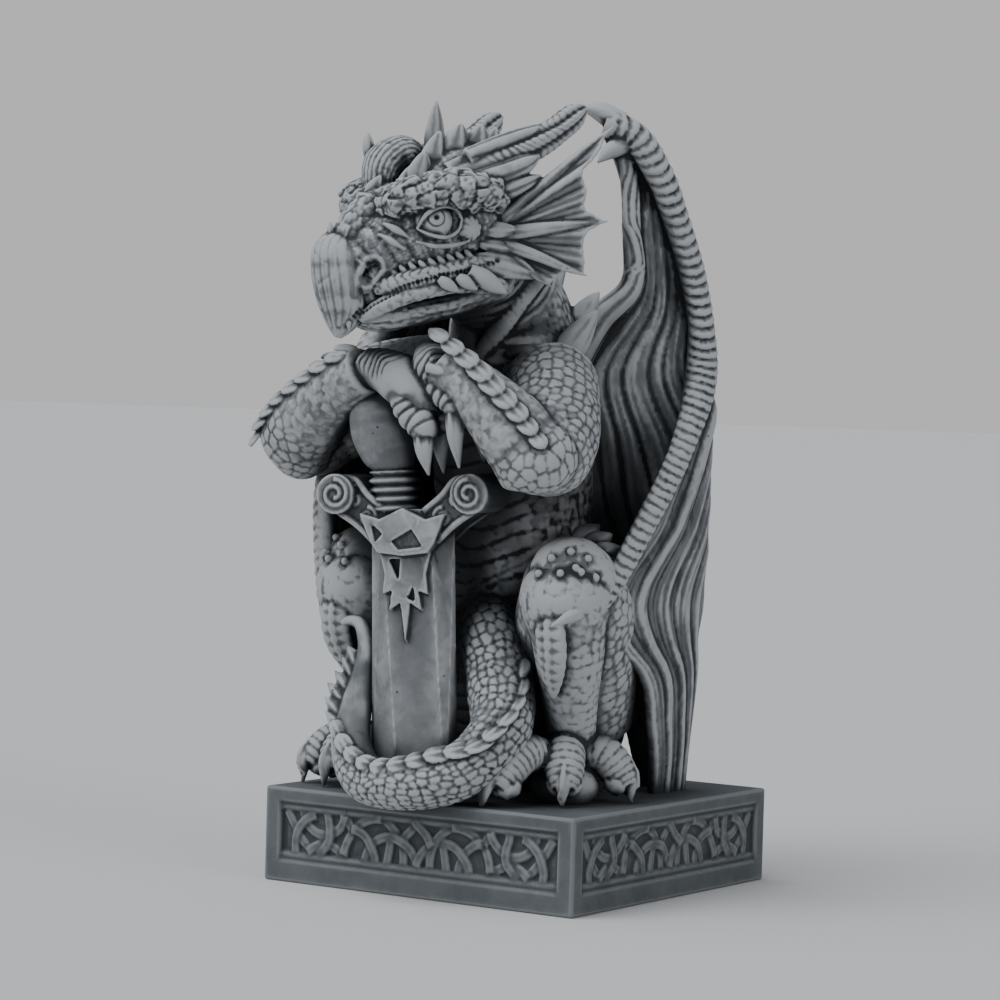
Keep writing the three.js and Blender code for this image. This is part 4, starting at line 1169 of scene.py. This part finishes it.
def half_head(side):
    """What each side of the head has: brow, lip, horn, eye, cheek, teeth and ear."""
    rough = both(crags(6, 1.7, seed=21), crags(2.4, 0.5, seed=22))
    knurls = where(rings(3.4, 0.4, slant=0.9, sharp=2), 0, 180, start=20)
    twisted = both(grooves(6, 1.7, twist=0.05, sharp=2), knurls)
    shells = [
        head_roll(mirror_left(BROW, side), relief=rough),
        head_roll(mirror_left(LIP, side), relief=crags(3, 0.35, seed=24)),
        head_roll(mirror_left(HORN, side), relief=twisted),
        head_ball((EYE[0], EYE[1] * side, EYE[2]), [EYE_RADIUS] * 3, steps=40),
        head_roll(mirror_left(TEMPLE_KNOB, side), relief=grooves(9, 0.5)),
        head_ball((51, 12 * side, -14), (9.5, 6, 8.5)),
    ]
    for line in HORN_LOBES:
        shells.append(head_roll(mirror_left(line, side), relief=grooves(5, 0.6, twist=0.03)))
    for line in [UPPER_LID, LOWER_LID, *UNDER_EYE_FOLDS]:
        shells.append(head_roll(mirror_left(line, side)))
    shells.append(
        head_roll(mirror_left(CHEEK_FOLD, side), relief=both(crags(3, 0.3, seed=25), rings(4, 0.4)))
    )
    beads, _ = spline([(*p, 0) for p in mirror_left(BEAD_LINE, side)], LIP_BEADS)
    for f, l, u, _ in beads:
        rows = [(f + df, l - dl * side, u + du, radius) for df, dl, du, radius in LIP_BEAD]
        shells.append(head_roll(rows))
    for f, l, u, radius, long in TEETH:
        way = np.array(mirror_left([TOOTH_WAY], side)[0]) * long
        root = np.array([f, l * side, u])
        rows = [(*(root + way * t), radius * share) for t, share in TOOTH_TAPER]
        rows.append((*(root + way), 0.5))
        shells.append(head_roll(rows))
    outward = {"place": on_head, "upright": LEFTWARD * side}
    for f, l, u, tf, tl, tu, width in CHEEK_SCUTES:
        shells.append(scute((f, l * side, u), (tf, tl * side, tu), width, thick=0.5, **outward))
    shells.append(head_roll(mirror_left(FRONT_FANG, side)))
    return shells + ear(side)


SKIN_OF_HEAD = both(cobbles(2.4, 0.26, seed=31, gap=0.3), crags(8, 0.5, seed=34), rings(9, 0.5))
head_shells = [
    head_roll(SNOUT, relief=SKIN_OF_HEAD),
    head_roll(BRIDGE, relief=both(cobbles(2.4, 0.22, seed=32, gap=0.3), crags(6, 0.5, seed=35))),
    head_roll(
        BEAK, upright=FORWARD,
        relief=both(grooves(17, 0.22, sharp=2), grooves(37, 0.16), crags(9, 0.15, seed=37))
    ),
    head_roll(JAW, relief=both(grooves(9, 0.5), crags(4, 0.35, seed=33))),
    head_roll(BEAK_SPIKE, upright=FORWARD, relief=grooves(6, 0.4)),
    head_roll(FAR_SPIKE, upright=FORWARD, relief=grooves(5, 0.5)),
    head_roll(FAR_LOBE, relief=both(grooves(23, 0.6, twist=0.01), crags(3, 0.3, seed=36))),
]
for side in (1, -1):
    head_shells += half_head(side)
for f, l, u, tall, width in CREST:
    root, tip = (f + 2, l, u - 8), (f - 6, l * 1.1, u + tall - 5)
    head_shells.append(scute(root, tip, width, place=on_head, upright=LEFTWARD, thick=0.4))
CHEVRONS = 9
CHEVRON_FIRST, CHEVRON_LAST = np.array([57.5, 4.5, 9]), np.array([40, 21, 12])
for t in np.linspace(0, 1, CHEVRONS):
    f, u, wide = CHEVRON_FIRST + (CHEVRON_LAST - CHEVRON_FIRST) * t
    end_f, end_u = f - 10 - 3 * t, u - 7 - 2 * t
    half = [(end_f, wide + 2, end_u - 4, 0.6), (f - 3, wide * 0.5, u - 1.5, 1.5)]
    ridge = [*mirror_left(half, -1), (f, 0, u + 0.6, 1.7), *half[::-1]]
    head_shells.append(head_roll(ridge, upright=FORWARD))
head = cast("dragon_head", head_shells, voxel=0.54, triangles=196000, carve=carve_head)

# %% [markdown]
# ## The sword
# It stands upright in front, a little turned to the dragon's left, with a six-sided blade, a guard of
# scrollwork between two rolls, a boss with sunk panels, a ringed grip and a round pommel.

# %% Sword
SWORD_FOOT = at((-7.6, -83, 0))
SWORD_GUARD = at((-12.6, -84, 140))
SWORD_TURN = math.radians(12)
SWORD_UP = unit(SWORD_GUARD - SWORD_FOOT)
SWORD_BACK = np.array([-math.sin(SWORD_TURN), math.cos(SWORD_TURN), 0.0])
SWORD_BACK = unit(SWORD_BACK - SWORD_UP * (SWORD_BACK @ SWORD_UP))
SWORD_AXES = np.stack([np.cross(SWORD_BACK, SWORD_UP), SWORD_BACK, SWORD_UP])
GUARD = 140
REACH = 36
SWORD_FACES = (-1, 1)


def on_sword(points):
    """Points across the sword, out to its back and up from its foot."""
    return SWORD_FOOT + np.asarray(points, float) @ SWORD_AXES


def blade_section(up, wide, flat, thick, skew):
    """A six-sided outline of the blade at a height, its two flats moved to one side by the skew."""
    left, right = skew - flat, skew + flat
    corners = [(-wide, 0), (left, -thick), (right, -thick), (wide, 0), (right, thick), (left, thick)]
    return [(across, back, up) for across, back in corners]


def prism(first, last):
    """A closed skin between two outlines of equally many points."""
    points = on_sword(list(first) + list(last))
    n = len(first)
    k = np.arange(n)
    m = (k + 1) % n
    ends = np.stack([points[:n].mean(0), points[n:].mean(0)])
    faces = [np.stack([k, m, m + n], 1), np.stack([k, m + n, k + n], 1)]
    faces += [np.stack([k * 0 + 2 * n, m, k], 1), np.stack([k * 0 + 2 * n + 1, k + n, m + n], 1)]
    return np.concatenate([points, ends]), np.concatenate(faces)


def plate(half, thickness, holes=()):
    """A flat piece across the sword from half an outline [across, up], with holes cut through it."""
    inner = [(-a, u) for a, u in half if a > 0][::-1]
    rings_ = [list(half) + inner, *[list(h) for h in holes]]
    flat = [[Vector((a, u, 0)) for a, u in ring] for ring in rings_]
    faces = np.array(geometry.tessellate_polygon(flat))
    outline = [p for ring in rings_ for p in ring]
    n = len(outline)
    points = on_sword([(a, y, u) for y in (-thickness / 2, thickness / 2) for a, u in outline])
    walls, start = [], 0
    for ring in rings_:
        k = np.arange(len(ring)) + start
        m = np.roll(k, -1)
        walls += [np.stack([k, m, m + n], 1), np.stack([k, m + n, k + n], 1)]
        start += len(ring)
    return points, np.concatenate([faces, faces[:, ::-1] + n, *walls])


def about_guard(outline):
    """Points [across, up from the guard] as [across, up from the sword's foot]."""
    return [(across, GUARD + up) for across, up in outline]


GUARD_OUTLINE = about_guard(
    [(0, -16), (15, -14), (26, -4), (REACH, 2), (REACH, 21), (27, 20), (20, 12), (10, 4), (0, 4)]
)
BOSS_OUTLINE = about_guard([(0, -19), (13.4, -17.5), (17, -12.5), (23, 2), (12.3, -1), (0, 4.6)])
BOSS_PANELS = [
    about_guard([(5, -5.7), (-6, -11.8), (-2.2, -16), (11, -14.5)]),
    about_guard([(-17, -2.5), (-14.6, -12.5), (-10.5, -8.2)]),
]
SPIKES_OUTLINE = about_guard(
    [(0, -62), (2.5, -42), (8.5, -46), (7, -36), (12, -38), (11, -28), (14, -16), (0, -14)]
)
SPIKES_HOLES = [
    about_guard([(-8.8, -20.5), (-3.5, -32), (-2.5, -20.5)]),
    about_guard([(1, -40), (4.5, -33), (5.5, -42)]),
]
UPPER_RIM = about_guard([(10, 3), (20, 11), (27, 18.5), (REACH, 20)])
LOWER_RIM = about_guard([(17, -12), (26, -4), (REACH, 2.5)])
CURL_STEPS = 18
CURL_THICK = 1.2


def bead(points, radius, **options):
    """A raised line on the sword."""
    return roll([(*p, radius) for p in points], place=on_sword, pitch=FINE, **options)


def curl(centre, radius, turns, side, back):
    """A raised spiral on the guard that winds in to its centre."""
    points = []
    for k in range(int(CURL_STEPS * turns)):
        a = side * TURN * k / CURL_STEPS + math.pi / 2
        r = radius * (1 - 0.8 * k / (CURL_STEPS * turns))
        points.append((centre[0] + r * math.cos(a), back, centre[1] + r * math.sin(a)))
    return bead(points, CURL_THICK, upright=SWORD_BACK)


sword_shells = [
    prism(blade_section(-6, 23.5, 12.5, 9, 8), blade_section(GUARD, 22.5, 13.3, 8, -1)),
    plate(GUARD_OUTLINE, 20),
    plate(BOSS_OUTLINE, 25.5),
    plate(BOSS_OUTLINE, 29, BOSS_PANELS),
    plate(SPIKES_OUTLINE, 22, SPIKES_HOLES),
]
for side in (1, -1):
    ends = [(side * REACH, back, GUARD + 11.5, 10) for back in (-15, 15)]
    sword_shells.append(
        roll([ends[0], (side * REACH, 0, GUARD + 11.5, 9.6), ends[1]], place=on_sword, pitch=FINE)
    )
    for face in SWORD_FACES:
        for rim in (UPPER_RIM, LOWER_RIM):
            line = [(side * a, face * 10, u) for a, u in rim]
            sword_shells.append(bead(line, 1.6, upright=SWORD_BACK))
        sword_shells.append(curl((side * 20, GUARD), 5, 1.4, side, face * 10))
        sword_shells.append(curl((side * 27, GUARD + 9), 4, 1.3, -side, face * 10))
        sword_shells.append(curl((side * REACH, GUARD + 11.5), 7.5, 1.6, side, face * 15))
GRIP_RINGS, GRIP_PITCH = 5, 4.6
grip = []
for k in range(GRIP_RINGS):
    level = GUARD + 2 + k * GRIP_PITCH
    grip += [(-9.6 - 0.2 * k, 0, level, 10.0), (-9.7 - 0.2 * k, 0, level + GRIP_PITCH / 2, 12.6)]
sword_shells.append(roll(grip, place=on_sword, upright=SWORD_BACK, pitch=0.5))
POMMEL = [
    (-11, 0, 160, 9), (-11, 0, 165, 11), (-13, 0, 173, 14.5), (-16, 0, 186, 16.5), (-18, 0, 198, 13),
    (-19, 0, 204, 6), (-19, 0, 206, 2)
]
sword_shells.append(roll(POMMEL, place=on_sword, upright=SWORD_BACK, pitch=0.7))
sword = cast("sword", sword_shells, voxel=0.6, triangles=104000)

# %% [markdown]
# ## The plinth
# A square block with a sunk panel on each side. In each panel lies a band of knotwork: flat straps that
# pass over and under each other, the left half a mirror image of the right. The block is a cube whose
# four sides are inset twice, the second time inwards, and then bevelled. The straps are flat rolls that
# melt into its panels, as they do in a casting.

# %% Plinth block
PLINTH_SIDE = 186.0
FRAME_SIDE, FRAME_TOP, FRAME_BOTTOM = 9.5, 7.5, 11.5
PANEL_DEPTH = 3.6
PANEL_DRAFT = 0.5
EDGE_BEVEL = 1.1
PANEL_MIDDLE = (PLINTH_HEIGHT + FRAME_BOTTOM - FRAME_TOP) / 2
PANEL_HALF = PLINTH_SIDE / 2 - FRAME_SIDE
FIELD_HALF = 10.4
BORDER_HEIGHT = 2.5

bpy.ops.object.select_all(action="DESELECT")
block_size = (PLINTH_SIDE * MM, PLINTH_SIDE * MM, PLINTH_HEIGHT * MM)
bpy.ops.mesh.primitive_cube_add(size=1, location=(0, 0, PLINTH_HEIGHT * MM / 2), scale=block_size)
block = bpy.context.object
bpy.ops.object.transform_apply(location=True, rotation=True, scale=True)
bpy.ops.object.mode_set(mode="EDIT")
bpy.ops.mesh.select_mode(type="FACE")
bpy.ops.mesh.select_all(action="DESELECT")
bpy.ops.object.mode_set(mode="OBJECT")
for face in block.data.polygons:
    face.select = abs(face.normal.z) < 0.5
bpy.ops.object.mode_set(mode="EDIT")
bpy.ops.mesh.inset(thickness=FRAME_SIDE * MM, use_individual=True)
bpy.ops.transform.translate(value=(0, 0, (FRAME_BOTTOM - FRAME_SIDE) * MM))
bpy.ops.mesh.inset(thickness=PANEL_DRAFT * MM, depth=-PANEL_DEPTH * MM, use_individual=True)
bpy.ops.object.mode_set(mode="OBJECT")
modify(block, "BEVEL", width=EDGE_BEVEL * MM, segments=3, limit_method="ANGLE")
modify(block, "TRIANGULATE")
print("plinth block:", len(block.data.polygons), "faces")

# %% Knotwork
STRAP_HALF = 2.45
STRAP_RISE, STRAP_THICK = 0.75, 1.25
ARC_POINTS = 25
CROSSING_REACH = 2.0
CROSSING_LIFT, CROSSING_LENGTH = 0.75, 4.0
KNOT_ARCS = [
    (15.8, -13.4, 16, 168, 12), (22.3, -10.9, 22, 92, 5), (28, -8, 20, 110, 185),
    (42, -12, 17, 175, 100), (57.3, 13.1, 13.5, 192, 348), (56, -18.5, 13.5, 140, 40),
    (58, -7, 17, 75, -12),
]
KNOT_LINES = [
    [(-1.5, 12.1), (8.5, 2), (9.5, 0.5)],
    [(16, 0), (18, -10.5)],
    [(40, 4.5), (44, 10.5)],
    [(55, 10.6), (53.5, -3), (60, -10.6)],
    [(64, -10.6), (73, -1), (80, 10)],
]


def knot_lines():
    """The straps' middle lines on a panel, cut off at its borders."""
    lines = []
    for x, y, radius, start, end in KNOT_ARCS:
        a = np.radians(np.linspace(start, end, ARC_POINTS))
        lines.append(np.column_stack([x + radius * np.cos(a), y + radius * np.sin(a)]))
    for corners in KNOT_LINES:
        rows, _ = spline([(*c, 0) for c in corners], ARC_POINTS)
        lines.append(rows[:, :2])
    lines += [line * (-1, 1) for line in lines]
    return [
        line[(np.abs(line[:, 1]) < FIELD_HALF + 2.2) & (np.abs(line[:, 0]) < PANEL_HALF + 1)]
        for line in lines
    ]


def woven(lines):
    """The height of each strap along its way: up where it passes over another, down where under."""
    heights = [np.zeros(len(line)) for line in lines]
    turn = [k % 2 for k in range(len(lines))]
    for i, a in enumerate(lines):
        for j in range(i + 1, len(lines)):
            b = lines[j]
            if len(a) < 3 or len(b) < 3:
                continue
            gap = np.linalg.norm(a[:, None] - b[None], axis=2)
            m, n = np.unravel_index(gap.argmin(), gap.shape)
            if gap[m, n] > CROSSING_REACH:
                continue
            over = 1 if turn[i] else -1
            turn[i], turn[j] = 1 - turn[i], 1 - turn[j]
            for line, height, spot, way in ((a, heights[i], m, over), (b, heights[j], n, -over)):
                reach = np.linalg.norm(line - line[spot], axis=1)
                height += way * CROSSING_LIFT * np.exp(-((reach / CROSSING_LENGTH) ** 2))
    return heights


def panel_place(turns):
    """Puts panel places [along, up, out of its floor] on one side of the plinth."""
    a = turns * math.pi / 2
    across = np.array([math.cos(a), math.sin(a), 0])
    outward = np.array([math.sin(a), -math.cos(a), 0])
    middle = outward * (PLINTH_SIDE / 2 - PANEL_DEPTH) + (0, 0, PANEL_MIDDLE)
    axes = np.stack([across, np.array([0, 0, 1.0]), outward])
    return lambda points: middle + np.asarray(points, float) @ axes, outward


STRAP_SQUARE = 1.9


def flat_top(s, angle, girth):
    """Squares off a round strap."""
    square = (np.abs(np.cos(angle)) ** 4 + np.abs(np.sin(angle)) ** 4) ** -0.25 - 1
    return square * STRAP_SQUARE + 0 * s


block_shell = np.array([tuple(f.vertices) for f in block.data.polygons])
plinth_shells = [(places(block.data) / MM, block_shell)]
straps = knot_lines()
for turns in range(4):
    place, outward = panel_place(turns)
    for line, height in zip(straps, woven(straps)):
        if len(line) > 3:
            rows = [(x, y, STRAP_RISE + h, STRAP_HALF, STRAP_THICK) for (x, y), h in zip(line, height)]
            plinth_shells.append(roll(rows, place=place, upright=outward, pitch=0.8, relief=flat_top))
    half = (PLINTH_HEIGHT - FRAME_TOP - FRAME_BOTTOM) / 2
    for edge in (1, -1):
        width = half - FIELD_HALF
        rows = [
            (x, edge * (half - width / 2), 0, width / 2 + 0.4, BORDER_HEIGHT)
            for x in (-PANEL_HALF, 0, PANEL_HALF)
        ]
        plinth_shells.append(roll(rows, place=place, upright=outward, pitch=2.0, sides=16))
bpy.data.objects.remove(block)
plinth = cast("plinth_block", plinth_shells, voxel=0.75, triangles=124000)

# %% [markdown]
# ## The finish
# Cast stone like this is coloured all through, covered with a near black wash and wiped, so that the
# black stays in the hollows, and then given a pale rub on the ridges. One node group makes that finish
# from the numbers kept at each point, and paints shade with it too: the near black in the hollows is both
# the wash and painted shade, more of it is laid on as painted shade where a point sees little sky, and
# the pale rub is kept to where a point sees the sky, as painted light. It also mottles the stone and
# strews it with the pits of air bubbles, darkened as wash and painted shade.

# %% Stone finish
MOTTLE_SCALE, MOTTLE_SHARE = 38, 0.16
PATCH_SCALE, PATCH_SHARE, NOISE_MIDDLE = 160, 0.2, 0.5
# Painted shade: how much near black goes into the hollows, where it is also the wash, and where a point
# sees little sky.
HOLLOW_WASH_AND_SHADE, SHADE_WASH = 0.85, 0.8
# The pits are darkened with near black, as wash in them and as painted shade inside them.
PIT_SCALE, PIT_PATCH_SCALE, PIT_DARKNESS = 130, 55, 0.75
GRAIN_SCALE, GRAIN_HEIGHT = 900, 0.0006
ROUGHNESS = (0.66, 0.86)
SHINE = 0.35


SOCKETS = [
    ("Stone", "NodeSocketColor", "INPUT", (0.2, 0.21, 0.22, 1)),
    # This near black is the colour of both the wash and the painted shade.
    ("Wash And Shade", "NodeSocketColor", "INPUT", (0.012, 0.014, 0.017, 1)),
    ("Rubbed", "NodeSocketColor", "INPUT", (0.5, 0.52, 0.54, 1)),
    ("Wash Amount", "NodeSocketFloat", "INPUT", 1.0), ("Rub Amount", "NodeSocketFloat", "INPUT", 1.0),
    ("Color", "NodeSocketColor", "OUTPUT", (0.8, 0.8, 0.8, 1)),
    ("Roughness", "NodeSocketFloat", "OUTPUT", 0.0), ("Height", "NodeSocketFloat", "OUTPUT", 0.0),
]

stone_wash_and_shade = bpy.data.node_groups.new("stone_wash_and_shade", "ShaderNodeTree")
for name, kind, way, value in SOCKETS:
    made = stone_wash_and_shade.interface.new_socket(name=name, in_out=way, socket_type=kind)
    made.default_value = value


def add(kind, **settings):
    """Adds a node to the finish."""
    node = stone_wash_and_shade.nodes.new(kind)
    for name, value in settings.items():
        setattr(node, name, value)
    return node


def join(start, end):
    stone_wash_and_shade.links.new(start, end)


def ramp(value, low, high, to_low=0.0, to_high=1.0):
    """A soft step of a value from its low to its high end."""
    node = add("ShaderNodeMapRange", interpolation_type="SMOOTHSTEP")
    join(value, node.inputs["Value"])
    limits = {"From Min": low, "From Max": high, "To Min": to_low, "To Max": to_high}
    for name, number in limits.items():
        node.inputs[name].default_value = number
    return node.outputs["Result"]


def maths(kind, a, b):
    """Two numbers or outputs put together; a sum is kept between 0 and 1."""
    node = add("ShaderNodeMath", operation=kind, use_clamp=kind == "ADD")
    for socket_, value in zip(node.inputs, (a, b)):
        if isinstance(value, (int, float)):
            socket_.default_value = value
        else:
            join(value, socket_)
    return node.outputs[0]


def blend_colors(share, a, b):
    """Colour a, and as much of colour b over it as the share says."""
    node = add("ShaderNodeMix", data_type="RGBA", blend_type="MIX")
    join(share, node.inputs["Factor"])
    join(a, node.inputs[6])
    join(b, node.inputs[7])
    return node.outputs[2]


group_in, group_out = add("NodeGroupInput"), add("NodeGroupOutput")
coordinates = add("ShaderNodeTexCoord").outputs["Object"]


def noise(scale, detail, rough=0.55):
    node = add("ShaderNodeTexNoise")
    join(coordinates, node.inputs["Vector"])
    node.inputs["Scale"].default_value = scale
    node.inputs["Detail"].default_value = detail
    node.inputs["Roughness"].default_value = rough
    return node.outputs["Fac"]


hollow = add("ShaderNodeAttribute", attribute_name="hollow").outputs["Fac"]
sky = add("ShaderNodeAttribute", attribute_name="sky").outputs["Fac"]
mottle, grain = noise(MOTTLE_SCALE, 5), noise(GRAIN_SCALE, 3, 0.7)
patchy = maths("SUBTRACT", noise(PATCH_SCALE, 4), NOISE_MIDDLE)
uneven = maths("ADD", hollow, maths("MULTIPLY", patchy, PATCH_SHARE))
# The near black in the hollows is both wash and painted shade.
in_hollows = ramp(uneven, 0.5, 0.2)
# Painted shade: the less sky a point sees, the more near black it gets.
in_shade = ramp(sky, 0.75, 0.25)
in_hollows_or_shade = maths(
    "ADD", maths("MULTIPLY", in_hollows, HOLLOW_WASH_AND_SHADE), maths("MULTIPLY", in_shade, SHADE_WASH)
)
wash_and_painted_shade = maths("MULTIPLY", in_hollows_or_shade, group_in.outputs["Wash Amount"])
# Painted light: the pale rub is kept to where a point sees the sky.
painted_light_from_sky = maths("MULTIPLY", ramp(sky, 0.15, 0.75), group_in.outputs["Rub Amount"])
rub_with_painted_light = maths("MULTIPLY", ramp(uneven, 0.5, 0.88), painted_light_from_sky)
paler = ramp(mottle, 0.35, 0.65, 0.0, MOTTLE_SHARE)
mottled = blend_colors(paler, group_in.outputs["Stone"], group_in.outputs["Rubbed"])
stone_with_rub_and_painted_light = blend_colors(rub_with_painted_light, mottled, group_in.outputs["Rubbed"])
# The near black laid on as wash and as painted shade.
stone_with_wash_and_painted_shade = blend_colors(wash_and_painted_shade, stone_with_rub_and_painted_light, group_in.outputs["Wash And Shade"])
pits = add("ShaderNodeTexVoronoi")
join(coordinates, pits.inputs["Vector"])
pits.inputs["Scale"].default_value = PIT_SCALE
pit_patches = ramp(noise(PIT_PATCH_SCALE, 2), 0.56, 0.64)
bubble = maths("MULTIPLY", ramp(pits.outputs["Distance"], 0.11, 0.05), pit_patches)
# The pits get near black, as wash in them and as painted shade inside them.
final = blend_colors(maths("MULTIPLY", bubble, PIT_DARKNESS), stone_with_wash_and_painted_shade, group_in.outputs["Wash And Shade"])
join(final, group_out.inputs["Color"])
join(ramp(grain, 0.3, 0.7, *ROUGHNESS), group_out.inputs["Roughness"])
height = maths("SUBTRACT", maths("MULTIPLY", grain, 0.5), bubble)
join(height, group_out.inputs["Height"])
print("stone_wash_and_shade:", len(stone_wash_and_shade.nodes), "nodes")


def stone(name, color, rubbed_color, wash_and_shade, rub, bump):
    """One stone material with its own values of the shared finish."""
    material = bpy.data.materials.new(name)
    material.use_nodes = True
    tree = material.node_tree
    shader = tree.nodes["Principled BSDF"]
    finish = tree.nodes.new("ShaderNodeGroup")
    finish.node_tree = stone_wash_and_shade
    finish.inputs["Stone"].default_value = (*color, 1)
    finish.inputs["Rubbed"].default_value = (*rubbed_color, 1)
    finish.inputs["Wash Amount"].default_value = wash_and_shade
    finish.inputs["Rub Amount"].default_value = rub
    relief = tree.nodes.new("ShaderNodeBump")
    relief.inputs["Strength"].default_value = bump
    relief.inputs["Distance"].default_value = GRAIN_HEIGHT
    tree.links.new(finish.outputs["Color"], shader.inputs["Base Color"])
    tree.links.new(finish.outputs["Roughness"], shader.inputs["Roughness"])
    tree.links.new(finish.outputs["Height"], relief.inputs["Height"])
    tree.links.new(relief.outputs["Normal"], shader.inputs["Normal"])
    shader.inputs["Specular IOR Level"].default_value = SHINE
    return material


FIGURE_COLORS = ((0.112, 0.121, 0.131), (0.47, 0.485, 0.5))
PLINTH_COLORS = ((0.085, 0.096, 0.104), (0.25, 0.265, 0.275))
# The first amount scales the near black of the wash and of the painted shade, the second the pale rub,
# which is kept to where a point sees the sky.
figure_stone = stone("figure_stone", *FIGURE_COLORS, wash_and_shade=1.0, rub=0.9, bump=0.5)
plinth_stone = stone("plinth_stone", *PLINTH_COLORS, wash_and_shade=0.6, rub=0.6, bump=0.6)

# %% [markdown]
# ## Putting it together
# Each piece rides on the one body of the part, takes the place of an imported solid and is given its
# stone material.

# %% Hand over
for piece, node, slot, material in (
    (body, "dragon", "figure_stone", figure_stone),
    (limbs, "dragon", "figure_stone", figure_stone),
    (wings, "dragon", "figure_stone", figure_stone),
    (head, "dragon", "figure_stone", figure_stone),
    (sword, "dragon", "figure_stone", figure_stone),
    (plinth, "plinth", "plinth_stone", plinth_stone),
):
    piece.data.materials.clear()
    piece.data.materials.append(material)
    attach(piece, "root")
    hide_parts(node)
